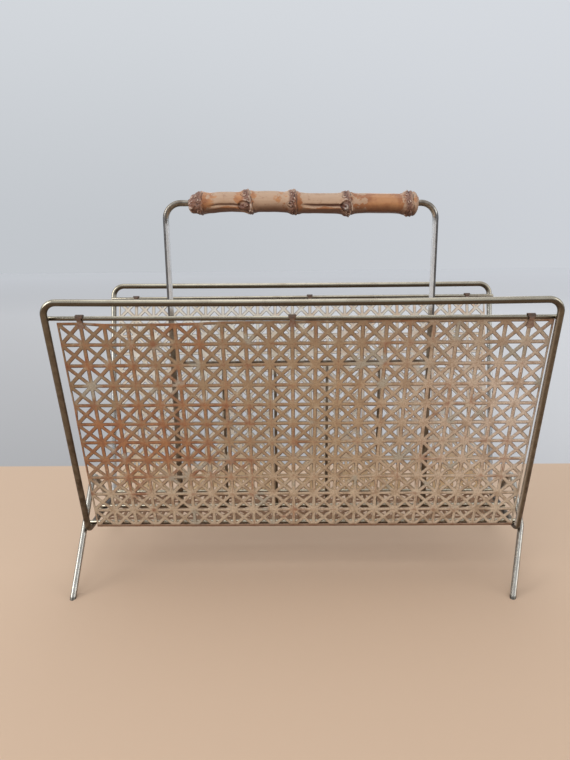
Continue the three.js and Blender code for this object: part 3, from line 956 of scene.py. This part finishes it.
def bump(distance, width):
    """A smooth hump: 1 at no distance, and near 0 past the width."""
    return math.exp(-((distance / width) ** 2))


def wear_edges(point):
    """Lets the top edge sag off its bar between two straps, and dents the left edge."""
    span = eased(point.x, SAG_LEFT, SAG_LEFT + SAG_LEFT_EASE)
    span *= 1 - eased(point.x, SAG_RIGHT - SAG_RIGHT_EASE, SAG_RIGHT)
    point.y += SAG * span * bump(point.y, SAG_DEPTH)
    down = (WALL_TOP_HEIGHT - DENT_HEIGHT) / math.cos(SIDE_TILT)
    point.x += DENT * bump(point.y - down, DENT_WIDTH) * bump(point.x - SHEET_LEFT, DENT_REACH)


def score_folds(piece):
    """Moves the flat sheet to its place, gives it its top strips, and cuts lines where it will fold."""
    form = bmesh.new()
    form.from_mesh(piece.data)
    for vert in form.verts:
        at_start = vert.co.y < cell_length / 100
        at_end = vert.co.y > cell_length * (ROWS - 0.01)
        vert.co.x += SHEET_LEFT
        vert.co.y += TOP_STRIP
        if at_start:
            vert.co.y = 0.0
        elif at_end:
            vert.co.y = sheet_length
        wear_edges(vert.co)
    first = wall_length - fold_tangent
    for start in (first, sheet_length - first - fold_arc):
        for step in range(FOLD_STEPS + 1):
            cut = {"plane_co": (0, start + fold_arc * step / FOLD_STEPS, 0), "plane_no": (0, 1, 0)}
            everything = [*form.verts, *form.edges, *form.faces]
            bmesh.ops.bisect_plane(form, geom=everything, dist=1e-6, **cut)
    form.to_mesh(piece.data)
    form.free()


score_folds(sheet)

# %% [markdown]
# Folding is a path: a point's distance down the flat sheet becomes a distance along the bent outline.
# The Sample Curve node gives the place and direction there. The points at the holes' edges are pushed
# inwards by the punch's drag, and a slow noise puts the small waves of thin sheet into the walls. A
# Solidify modifier gives the folded surface its thickness.

# %% Fold the sheet
WAVE_HEIGHT = 0.5 * MM
WAVES_PER_METRE = 11.0
OUTLINE_STEPS = 24
RIM_LEAST = 0.01


def make_fold_tree():
    sizes = {"outline": "Object", "radius": SEAT_RADIUS, "drag": DRAG_DEPTH, "wave": WAVE_HEIGHT}
    tree, given = new_shape_tree("fold_sheet", **sizes)
    outline = get(tree, "GeometryNodeObjectInfo", {"Object": given["outline"]}, out="Geometry")
    across, along, _ = get(tree, "GeometryNodeInputPosition").parts()
    feeds = {"Curves": rounded_line(outline, given["radius"], OUTLINE_STEPS), "Length": along}
    sampled = add(tree, "GeometryNodeSampleCurve", feeds, mode="LENGTH")
    place, tangent = (Value(tree, sampled.outputs[label]) for label in ("Position", "Tangent"))
    outward = {0: tangent, 1: (1, 0, 0)}
    outward = get(tree, "ShaderNodeVectorMath", outward, operation="CROSS_PRODUCT")
    base = {0: place, 1: get(tree, "ShaderNodeCombineXYZ", {0: across})}
    base = get(tree, "ShaderNodeVectorMath", base)
    waves = get(tree, "ShaderNodeTexNoise", {"Scale": WAVES_PER_METRE, "Detail": 1.0})
    drag = calc("GREATER_THAN", point_value(tree, "rim"), RIM_LEAST) * given["drag"]
    lift = (waves - 0.5) * given["wave"] - drag
    shift = get(tree, "ShaderNodeVectorMath", {0: outward, "Scale": lift}, operation="SCALE")
    final = get(tree, "ShaderNodeVectorMath", {0: base, 1: shift})
    folded = get(tree, "GeometryNodeSetPosition", {"Geometry": given["shape"], "Position": final})
    return finish_shape(given, folded)


def mark_inside(mesh):
    """Solidify lists one face of the sheet first and then the other: finds which one is the inside."""
    half = len(mesh.vertices) // 2

    def outwardness(place):
        return abs(place.y) * math.cos(SIDE_TILT) - place.z * math.sin(SIDE_TILT)

    first_outside = outwardness(mesh.vertices[0].co) > outwardness(mesh.vertices[half].co)
    write_marks(mesh, inner=[float((i >= half) == first_outside) for i in range(len(mesh.vertices))])
    print("the outside of the sheet is listed", "first" if first_outside else "last")


def thicken(piece, thickness):
    solid = piece.modifiers.new("thickness", "SOLIDIFY")
    solid.thickness, solid.offset = thickness, 0.0


def fold_sheet(piece):
    ends = [(sheet_depth(height), height) for height in (WALL_TOP_HEIGHT, FLOOR_HEIGHT)]
    corners = [Vector((0, -y, z)) for y, z in ends] + [Vector((0, y, z)) for y, z in reversed(ends)]
    outline = new_object("sheet_outline", point_row("sheet_outline", corners))
    shape_with(piece, make_fold_tree(), outline=outline, finish=sheet_finish)
    thicken(piece, SHEET_THICKNESS)
    bake(piece)
    bpy.data.objects.remove(outline)
    mark_inside(piece.data)
    sharpen(piece, 50)
    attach(piece, "basket")
    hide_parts("perforated_basket")


fold_sheet(sheet)
print("the folded sheet has", sum(len(p.vertices) - 2 for p in sheet.data.polygons), "triangles")

# %% [markdown]
# Six straps of thin steel fold over the crossbars and pinch the sheet's top edge. They were never
# plated as well as the rest, and have rusted dark. Each is a strip that follows an outline over the
# bar: wide on top, and narrowing to a rounded tongue on each face of the sheet.

# %% Rusted strap finish
def make_clip_finish():
    finish = Finish("rusted_strap")
    crust, patches = finish.noise(420, 5, 0.7), finish.noise(150, 3, 0.6)
    tongue = blend(crust.ramp(0.4, 0.62), (134, 116, 102), (122, 90, 74))
    tongue = blend(patches.ramp(0.5, 0.64), tongue, (146, 128, 112))
    cap = blend(crust.ramp(0.42, 0.62), (84, 70, 60), (104, 78, 62))
    looks = {
        "Base Color": blend(finish.place.parts()[2].ramp(0.2555, 0.2585), tongue, cap),
        "Roughness": crust.ramp(0.3, 0.7, 0.5, 0.85),
        "Metallic": patches.ramp(0.5, 0.7, 0.1, 0.35),
    }
    feed(finish.shader, looks)
    finish.relief(crust, 0.35 * MM, 0.8)
    return finish.material


clip_finish = make_clip_finish()

# %% Straps
CLIP_WIDTH = 6.3 * MM
CLIP_NECK_WIDTH = 3.9 * MM
CLIP_THICKNESS = 0.9 * MM
CLIP_EDGE = 0.22 * MM
# height in mm over a tongue's tip, and there its share of the width
TONGUE = ((0.0, 0.32), (0.35, 0.62), (0.9, 0.85), (1.7, 1.0), (2.6, 1.0), (3.4, 0.84))
# the strap's shoulder under its cap, as shares of the seat: out from the bar, and down
SHOULDER_OUT, SHOULDER_DOWN = 0.82, 0.55
NECK_BELOW_SEAT = 0.1 * MM
WIDENS_FROM, WIDENS_TO = 0.2, 0.55
CAP_STEPS = 16
STRIP_SHARES = (-0.5, -0.25, 0.0, 0.25, 0.5)
CLIP_REACHES = (6.8 * MM, 5.0 * MM, 7.0 * MM)
CLIP_COLUMNS = {"front": (1, 10, 20), "rear": (1, 11, 20)}


def strap_line(reach):
    """The strap's middle line over the bar, in the plane across it, with its width at each point."""
    seat = CROSS_WIRE / 2 + WELD_GAP + CLIP_THICKNESS / 2
    grasp = SHEET_THICKNESS / 2 + WELD_GAP + CLIP_THICKNESS / 2
    end = -(CROSS_WIRE / 2 + WELD_GAP + reach)
    side = [(grasp, end + up * MM, CLIP_WIDTH * share) for up, share in TONGUE]
    side.append((grasp, -seat - NECK_BELOW_SEAT, CLIP_NECK_WIDTH))
    side.append((seat * SHOULDER_OUT, -seat * SHOULDER_DOWN, CLIP_NECK_WIDTH))
    cap = []
    for step in range(CAP_STEPS + 1):
        angle = math.pi * step / CAP_STEPS
        wider = (CLIP_WIDTH - CLIP_NECK_WIDTH) * eased(math.sin(angle), WIDENS_FROM, WIDENS_TO)
        cap.append((seat * math.cos(angle), seat * math.sin(angle), CLIP_NECK_WIDTH + wider))
    return side + cap + [(-y, z, width) for y, z, width in reversed(side)]


def make_clip(word, number, side, bow):
    form = bmesh.new()
    tilt = Matrix.Rotation(-side * SIDE_TILT, 4, "X")
    x = SHEET_LEFT + CLIP_COLUMNS[word][number - 1] * cell_width
    place = Vector((x, side * CROSSBAR_DEPTH, CROSSBAR_HEIGHT + bow_height(x, bow)))
    rows = []
    for y, z, width in strap_line(CLIP_REACHES[number - 1]):
        points = [tilt @ Vector((share * width, y, z)) + place for share in STRIP_SHARES]
        rows.append([form.verts.new(point) for point in points])
    for lower, upper in zip(rows, rows[1:]):
        for k in range(len(STRIP_SHARES) - 1):
            form.faces.new((lower[k], lower[k + 1], upper[k + 1], upper[k]))
    bmesh.ops.recalc_face_normals(form, faces=form.faces)
    mesh = bpy.data.meshes.new(f"{word}_strap_{number}")
    form.to_mesh(mesh)
    form.free()
    strap = new_object(mesh.name, mesh)
    thicken(strap, CLIP_THICKNESS)
    bevel = strap.modifiers.new("worn_edges", "BEVEL")
    bevel.width, bevel.segments, bevel.limit_method = CLIP_EDGE, 2, "ANGLE"
    bake(strap)
    strap.data.materials.clear()
    strap.data.materials.append(clip_finish)
    sharpen(strap, 45)
    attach(strap, "basket")
    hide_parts(f"{word}_clip_{number}")


for number in (1, 2, 3):
    for word, side, _, bow in CROSSBARS:
        make_clip(word, number, side, bow)
print("made 6 straps")

# %% [markdown]
# The grip is a length of bamboo root. Root is knobbly where cane is smooth: every few centimetres it
# swells to a node, with a zigzag ring of little craters where rootlets were trimmed off, and at some
# nodes a bud has left a scar with a long groove running from it. A lathe could only make the
# swellings, so each point's radius is worked out from its place along and round the grip. The same
# function also says how much of each thing is there, and the finish reads that from the points.

# %% Grip sizes
GRIP_LENGTH = 208.5 * MM
GRIP_SHIFT = 2.6 * MM
GRIP_RADIUS = 8.8 * MM
GRIP_BORE = FRAME_WIRE / 2 + 1.15 * MM
BORE_RECESS = 1.5 * MM
BORE_WALL = 0.45 * MM
# the five nodes: share of the length, rise, lean and how strongly the lip stands out
NODES = (
    (0.053, 1.8 * MM, 0.6 * MM, 0.3),
    (0.266, 2.0 * MM, 4.0 * MM, 0.6),
    (0.461, 2.3 * MM, 0.8 * MM, 0.35),
    (0.695, 2.1 * MM, 0.8 * MM, 0.5),
    (0.959, 1.7 * MM, 0.4 * MM, 0.25),
)
NODE_LEFT, NODE_RIGHT = 5.2 * MM, 4.2 * MM
# places along the grip in mm, and there the radius and the height of its middle over the wire
GIRTH_PLACES = (0, 6, 14, 25, 45, 60, 75, 90, 100, 115, 145, 160, 190, 200, 208.5)
GIRTHS = (8.0, 7.8, 9.0, 9.0, 8.8, 9.1, 9.3, 9.0, 9.1, 8.9, 9.1, 8.8, 8.8, 9.5, 10.4)
CENTRE_PLACES = (0, 10, 20, 30, 37, 46, 60, 77, 88, 95, 102, 110, 130, 145, 160, 180, 195, 208.5)
CENTRES = (-0.6, 0.8, 0.9, 1.7, 1.8, 1.4, 1.7, 1.6, 0.9, 0.8, 0, -0.4, -0.6, -0.9, -0.8, -1.2, -1.7, -1.8)
# how each end is rounded off: its reach, the least share of the radius, and the curve's power
LEFT_END, RIGHT_END = (4.0 * MM, 0.48, 1.0), (4.6 * MM, 0.4, 0.75)
LEFT_CAP = 12 * MM
GRIP_STATIONS = 460
GRIP_SPOKES = 128
CRATERS = 13


def between(places, values, place):
    """The value at a place, on a line through known values, eased between them."""
    for k in range(len(places) - 1):
        if place <= places[k + 1]:
            t = eased(place, places[k], places[k + 1])
            return values[k] * (1 - t) + values[k + 1] * t
    return values[-1]


def turn_between(angle, other):
    """The turn from one direction round the grip to another, between minus and plus pi."""
    return (angle - other + math.pi) % (2 * math.pi) - math.pi


def spot(along, angle, wide, y=0.0, z=0.0):
    """A place for noise that joins up round the grip."""
    return Vector((along, math.cos(angle) * wide + y, math.sin(angle) * wide + z))


# %% Scars and varnish
# turn 0 points up and 90 degrees to the front; lengths are along the grip, in mm
SCAR_WORDS = ("node", "turn", "groove_turn", "past", "way", "length", "depth", "size", "clear")
SCARS = [
    dict(zip(SCAR_WORDS, numbers))
    for numbers in (
        (1, 120, 112, -4.5, -1, 33, 1.0, 1.25, 0.2),
        (3, 113, 106, -2.0, -1, 41, 1.5, 1.1, 1.0),
        (2, -70, -74, 2.0, 1, 30, 1.0, 1.0, 0.7),
    )
]
# where varnish is left: from, to, the turn it faces or none for all round, and how much
VARNISH = (
    (-2, 6, None, 0.42),
    (11.5, 17.5, None, 0.85),
    (16, 25, 62, 0.62),
    (42, 51, 50, 0.7),
    (56, 62, 40, 0.6),
    (78, 88, 45, 0.52),
    (84, 92, 105, 0.5),
    (96.5, 102.5, 85, 0.85),
    (146, 160, 80, 0.52),
    (161, 192.5, None, 1.0),
    (192, 197, 30, 0.5),
    (203, 210, None, 0.5),
)


def varnish_at(along, angle):
    """How surely varnish is left at a place, before the finish makes its edges ragged."""
    most = 0.0
    for start, end, turn, share in VARNISH:
        share *= eased(along, (start - 5) * MM, (start + 4) * MM)
        share *= 1 - eased(along, (end - 4) * MM, (end + 5) * MM)
        if turn is not None:
            share *= eased(math.cos(angle - math.radians(turn)), 0.1, 0.75)
        most = max(most, share)
    return most


# %% The grip's surface
MARKS = ("lip", "pit", "node", "bud", "varnish", "groove")
# the humps and hollows of each thing: how far from its middle, and how wide
NODE_RINGS = ((1.0, 0.75), (-0.5, 0.55), (2.5, 0.7), (-1.4, 3.4))
CRATER_RINGS = ((0.72, 0.24), (0, 0.46), (1.22, 0.24), (0, 0.9))
BUD_RINGS = ((0, 2.2), (3.6, 1.25), (5.2, 0.75), (0, 4.4), (0, 4.6))
GROOVE_RINGS = ((0, 1.05), (2.6, 1.6))
CRATER_EDGE = 1.8
BUD_EDGE = 9
GROOVE_FADE = 9 * MM


def humps(distance, rings, unit):
    """How much there is of each hump at a distance, with the rings measured in a unit."""
    return [bump(distance - off * unit, width * unit) for off, width in rings]


def strengthen(marks, **values):
    """Raises each mark that is less than its value here."""
    for label, value in values.items():
        marks[label] = max(marks[label], value)


def add_craters(n, away, angle, craters, marks):
    """The trimmed rootlets of one node: each is a low hump with a raised lip and a dark pit."""
    lift = 0.0
    here = spot(away * 330, angle, 2.9, n)
    away += 1.0 * MM * noise.noise(here)
    angle += 0.11 * noise.noise(here + Vector((9, 4, 7)))
    for turn, place_along, size in craters[n]:
        reach = math.hypot(away - place_along, turn_between(angle, turn) * (GRIP_RADIUS + 1.8 * MM))
        if reach > size * CRATER_EDGE:
            continue
        uneven = max(0.0, 0.45 + 1.7 * noise.noise(Vector((away * 460, angle * 6, n * 3.1))))
        lip, pit, crease, hump = humps(reach, CRATER_RINGS, size)
        lip *= uneven
        lift += size * (0.2 * hump + 0.28 * lip - 0.42 * pit - 0.16 * crease)
        strengthen(marks, lip=min(1.0, 0.8 * lip), pit=max(0.55 * pit, 0.6 * crease))
    return lift


def add_groove(scar, away, along, angle, marks):
    """The groove that runs from a bud scar, with a soft step along its one side."""
    length = scar["length"] * MM
    if not 0 < away < length:
        return 0.0
    fade = min(1.0, (length - away) / GROOVE_FADE)
    off = turn_between(angle, math.radians(scar["groove_turn"])) * GRIP_RADIUS
    off += 0.5 * MM * noise.noise(Vector((along * 90, scar["node"], 0)))
    trough, step = (hump * fade for hump in humps(off, GROOVE_RINGS, MM))
    groove = trough * (1 - 0.5 * away / length) * scar["depth"] / 1.5
    strengthen(marks, groove=groove, varnish=0.8 * step)
    return scar["depth"] * MM * (0.35 * step - trough)


def add_bud(scar, away, along, angle, marks):
    """The bud scar itself: a dome in a sunken ring, with a lip round it, on a low swelling."""
    unit = scar["size"] * MM
    off = turn_between(angle, math.radians(scar["turn"])) * (GRIP_RADIUS + 1 * MM)
    warp = noise.noise(spot(along * 170, angle, 1.7, 0.0, scar["node"]))
    reach = math.hypot(away, off * 0.95) + 1.5 * MM * warp
    if reach >= BUD_EDGE * unit:
        return 0.0
    dome, ring, lip, stain, swelling = humps(reach, BUD_RINGS, unit)
    leftward = held(-away * scar["way"] / (4 * MM))
    blurred = bump(reach - 1.0 * MM, 3.4 * unit) * (1 - scar["clear"])
    strengthen(
        marks,
        bud=dome * scar["clear"],
        pit=ring * (0.3 + 0.7 * leftward) * (0.4 + 0.6 * scar["clear"]),
        lip=lip * (0.62 - 0.4 * leftward),
        groove=blurred * (0.35 + 0.5 * leftward),
        node=stain,
    )
    return MM * (1.5 * swelling + 0.2 * dome - 1.15 * ring + 0.45 * lip)


def add_node(n, along, angle, craters, marks):
    """One node: a swelling with a lip and two creases, knobs, and its ring of craters."""
    share, rise, lean, strong = NODES[n]
    wander = 1.1 * MM * noise.noise(spot(n * 7.3, angle, 1.6))
    away = along - share * GRIP_LENGTH - wander + lean / 2 * math.cos(angle)
    if abs(away) > 4 * NODE_LEFT:
        return 0.0
    ridge, crease, under, band = humps(away, NODE_RINGS, MM)
    knobs = noise.noise(spot(along * 420, angle, 4.2, 0.0, n))
    broken = held(0.55 + 1.6 * knobs, 0.1)
    dark = max(0.5 * crease * broken, 0.75 * under * min(1.0, broken + 0.3), -1.6 * knobs * band)
    strengthen(marks, node=band, lip=strong * ridge * held(0.7 + 1.8 * knobs), pit=dark)
    lift = rise * bump(away, NODE_RIGHT if away > 0 else NODE_LEFT)
    lift += MM * (0.65 * strong * ridge - 0.35 * crease - 0.6 * under + 0.55 * band * knobs)
    return lift + add_craters(n, away, angle, craters, marks)


def grip_point(along, angle, craters):
    """Radius at a place on the grip, and how much there is of each mark."""
    marks = dict.fromkeys(MARKS, 0.0)
    radius = between(GIRTH_PLACES, GIRTHS, along / MM) * MM
    radius += 0.25 * MM * noise.noise(spot(along * 40, angle, 1.3))
    for n in range(len(NODES)):
        radius += add_node(n, along, angle, craters, marks)
    for scar in SCARS:
        start = NODES[scar["node"]][0] * GRIP_LENGTH + scar["past"] * MM
        away = (along - start) * scar["way"]
        radius += add_groove(scar, away, along, angle, marks)
        radius += add_bud(scar, away, along, angle, marks)
    if along < LEFT_CAP:
        cap = 1 - along / LEFT_CAP
        lumps = noise.noise(spot(along * 300, angle, 3.4))
        radius += 1.3 * MM * lumps * cap
        strengthen(marks, node=0.85, lip=held(2.2 * lumps * cap), pit=held(-1.8 * lumps * cap))
    strengthen(marks, varnish=varnish_at(along, angle))
    return radius, [marks[label] for label in MARKS]


def scatter_craters():
    """For each node a zigzag ring: turns round the grip, places along it and sizes."""
    chance = random.Random(12)
    rings = []
    for _ in NODES:
        ring = []
        for k in range(CRATERS):
            turn = 2 * math.pi * (k + chance.uniform(-0.2, 0.2)) / CRATERS
            along = (-0.9 if k % 2 else -3.3) * MM + chance.uniform(-0.5, 0.5) * MM
            ring.append((turn, along, chance.uniform(1.0, 2.5) * MM))
        rings.append(ring)
    return rings


# %% Make the grip
def make_grip():
    """Rings of points, from the bore at the left over the outside to the bore at the right."""
    craters = scatter_craters()
    left = GRIP_SHIFT - GRIP_LENGTH / 2
    angles = [2 * math.pi * k / GRIP_SPOKES for k in range(GRIP_SPOKES)]
    bore = [(GRIP_BORE, [0.0] * len(MARKS))] * GRIP_SPOKES
    form = bmesh.new()
    written = []

    def add_ring(x, points, centre=0.0, least=GRIP_BORE):
        ring = []
        for angle, (radius, shares) in zip(angles, points):
            up, front = centre + math.cos(angle) * radius, math.sin(angle) * radius
            grow = max(1.0, least / math.hypot(up, front))
            ring.append(form.verts.new((x, -front * grow, HANDLE_HEIGHT + up * grow)))
            written.append(shares)
        return ring

    rings = [add_ring(left + BORE_RECESS, bore)]
    for i in range(GRIP_STATIONS + 1):
        share = i / GRIP_STATIONS
        along = share * GRIP_LENGTH
        centre = between(CENTRE_PLACES, CENTRES, along / MM) * MM
        ending, gap = (LEFT_END, along) if share < 0.5 else (RIGHT_END, GRIP_LENGTH - along)
        reach, least, power = ending
        shrink = least + (1 - least) * (1 - (1 - min(1.0, gap / reach)) ** 2) ** power
        points = [grip_point(along, angle, craters) for angle in angles]
        points = [(max(radius * shrink, GRIP_BORE), shares) for radius, shares in points]
        rings.append(add_ring(left + along, points, centre, GRIP_BORE + BORE_WALL))
    rings.append(add_ring(left + GRIP_LENGTH - BORE_RECESS, bore))
    for here, there in zip(rings, rings[1:] + rings[:1]):
        for k in range(GRIP_SPOKES):
            j = (k + 1) % GRIP_SPOKES
            form.faces.new((here[k], there[k], there[j], here[j]))
    bmesh.ops.recalc_face_normals(form, faces=form.faces)
    mesh = bpy.data.meshes.new("bamboo_root_grip")
    form.to_mesh(mesh)
    form.free()
    write_marks(mesh, **dict(zip(MARKS, zip(*written))))
    grip = new_object(mesh.name, mesh)
    sharpen(grip, 60)
    return grip


# %% [markdown]
# Bamboo root is pale straw under a honey varnish that has flaked away along the middle and stayed by
# the nodes and on the last stretch at the right. Fine lines and brown freckles run along it. The
# nodes are a purplish brown, their crater lips are worn pale, and pits and grooves are nearly black.

# %% Bamboo finish
def make_bamboo_finish():
    finish = Finish("worn_bamboo_root")
    fibres = finish.noise(60, 4, 0.6, stretch=(0.35, 14, 14))
    flakes = finish.noise(170, 5, 0.65, stretch=(0.7, 1, 1))
    freckles = finish.noise(330, 4, 0.7, stretch=(0.6, 1, 1))
    clouds = finish.noise(62, 3, 0.6)
    straw = coated(
        blend(fibres, (187, 159, 134), (167, 136, 111)),
        clouds=(clouds.ramp(0.48, 0.66, 0.0, 0.55), (162, 126, 98)),
        freckles=(freckles.ramp(0.56, 0.7, 0.0, 0.65), (140, 100, 76)),
    )
    honey = coated(
        blend(fibres, (186, 137, 94), (162, 110, 70)),
        clouds=(clouds.ramp(0.4, 0.6), (150, 98, 62)),
        freckles=(freckles.ramp(0.5, 0.7, 0.0, 0.5), (134, 84, 54)),
    )
    varnish = (finish.mark("varnish") + (flakes - 0.5) * 2.2).ramp(0.44, 0.52)
    worn_lip = finish.mark("lip") + (freckles - 0.5) * 1.6
    colour = coated(
        straw,
        varnish=(varnish, honey),
        nodes=(finish.mark("node").ramp(0.2, 0.9, 0.0, 0.88), (120, 84, 71)),
        # The underside is painted dark: painted shade.
        underside=(finish.upward().ramp(0.05, -0.9, 0.0, 0.94), (86, 56, 42)),
        lips=(worn_lip.ramp(0.28, 0.72, 0.0, 0.85), (204, 184, 168)),
        buds=(finish.mark("bud").ramp(0.35, 0.9, 0.0, 0.7), (180, 172, 165)),
        pits=(finish.mark("pit").ramp(0.2, 0.8, 0.0, 0.9), (62, 42, 36)),
        grooves=(finish.mark("groove").ramp(0.15, 0.85, 0.0, 0.95), (80, 42, 28)),
    )
    feed(finish.shader, {"Base Color": colour, "Roughness": varnish.ramp(0, 1, 0.58, 0.32)})
    finish.relief(fibres * 0.5 + varnish * 0.3 + freckles * -0.3, 0.3 * MM, 0.7)
    return finish.material


grip = make_grip()
grip.data.materials.append(make_bamboo_finish())
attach(grip, "grip")
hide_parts("bamboo_grip")
print("the grip has", len(grip.data.vertices), "points")

# %% [markdown]
# The stage is one big plain floor. It is a pale warm tone round the basket, and a pale cool grey past
# a straight line behind it, where the room's wall begins. The grey is painted paler further off and
# towards the right, as painted light on that wall.

# %% Floor
FLOOR_HALF = 6.0
WALL_LINE = 0.251


def make_floor_finish():
    finish = Finish("plain_floor", Roughness=0.8)
    x, y, _ = finish.place.parts()
    sideways = calc("DIVIDE", x, y + 0.9)
    # The wall's grey is painted paler further off and to the right: painted light.
    wall = coated(
        blend(y.ramp(WALL_LINE, 2.1, smooth=False), (167, 166, 166), (214, 213, 213)),
        further=(y.ramp(2.1, 5.0, smooth=False), (231, 231, 232)),
        rightward=(sideways.ramp(-0.1, 0.4, 0.0, 0.35, smooth=False), (250, 250, 252)),
    )
    behind = y.ramp(WALL_LINE - 0.002, WALL_LINE + 0.002)
    feed(finish.shader, {"Base Color": blend(behind, (203, 175, 149), wall)})
    return finish.material


def make_floor():
    mesh = bpy.data.meshes.new("floor")
    corners = [(x * FLOOR_HALF, y * FLOOR_HALF, 0) for x, y in ((-1, -1), (1, -1), (1, 1), (-1, 1))]
    mesh.from_pydata(corners, [], [(0, 1, 2, 3)])
    floor = new_object("floor", mesh)
    floor.data.materials.append(make_floor_finish())


make_floor()

# %% [markdown]
# Light comes from soft boxes, as in a studio: a large one overhead, one on the left, a weaker one on
# the right, one behind for the other side, and a broad one in front that fills in the shadows and
# that no wire mirrors. The world is a plain room: pale above and behind the basket, and darker on
# the photographer's side, which gives shiny wires their dark lines.

# %% Lights
LIT_PLACE = Vector((0, 0, 0.16))
# each soft box: its place, its width and height, and its power
SOFT_BOXES = {
    "overhead_box": ((-0.2, -0.1, 2.1), (1.8, 1.4), 8),
    "left_box": ((-2.1, -0.9, 1.2), (1.0, 1.6), 18),
    "right_box": ((2.1, -0.9, 1.1), (0.9, 1.5), 7),
    "rear_box": ((0.3, 2.0, 1.5), (1.6, 1.0), 5),
    "front_box": ((-0.3, -2.2, 0.8), (2.2, 1.4), 16),
}

for name, (place, size, power) in SOFT_BOXES.items():
    lamp = bpy.data.lights.new(name, "AREA")
    lamp.shape = "RECTANGLE"
    lamp.size, lamp.size_y = size
    lamp.energy = power
    box = new_object(name, lamp)
    box.location = place
    box.visible_glossy = name != "front_box"
    box.rotation_euler = (LIT_PLACE - Vector(place)).to_track_quat("-Z", "Y").to_euler()


def make_world():
    world = bpy.data.worlds.new("pale_room")
    bpy.context.scene.world = world
    world.use_nodes = True
    tree = world.node_tree
    tree.nodes.clear()
    x, y, z = get(tree, "ShaderNodeTexCoord", out="Generated").parts()
    glow = coated(
        blend(z.ramp(-0.05, 0.45), (194, 198, 203), (214, 218, 223)),
        rightward=(x.ramp(-0.2, 0.4, 0.0, 0.35, smooth=False), (222, 225, 232)),
        near_side=(y.ramp(0.0, -0.75) * z.ramp(0.24, 0.06), (92, 88, 84)),
    )
    room = get(tree, "ShaderNodeBackground", {"Color": glow, "Strength": 1.0})
    add(tree, "ShaderNodeOutputWorld", {"Surface": room})


make_world()

# %% [markdown]
# The camera stands where the photographer stood: a little over half a metre in front and just below
# the height of the grip, looking down by thirteen degrees through a wide phone lens.

# %% Camera
CAMERA_PLACE = (-7.34 * MM, -564.16 * MM, 317.94 * MM)
CAMERA_YAW, CAMERA_DOWN, CAMERA_ROLL = (math.radians(v) for v in (0.84, 13.17, -0.61))
CAMERA_LENS = 28.14


def make_camera():
    data = bpy.data.cameras.new("camera")
    data.sensor_width = 36.0
    data.lens = CAMERA_LENS
    data.clip_start = 0.01
    camera = new_object("camera", data)
    turn = Matrix.Rotation(CAMERA_YAW, 4, "Z") @ Matrix.Rotation(math.pi / 2 - CAMERA_DOWN, 4, "X")
    camera.matrix_world = Matrix.Translation(CAMERA_PLACE) @ turn @ Matrix.Rotation(CAMERA_ROLL, 4, "Z")
    bpy.context.scene.camera = camera


make_camera()
bpy.context.scene.view_settings.view_transform = "Standard"
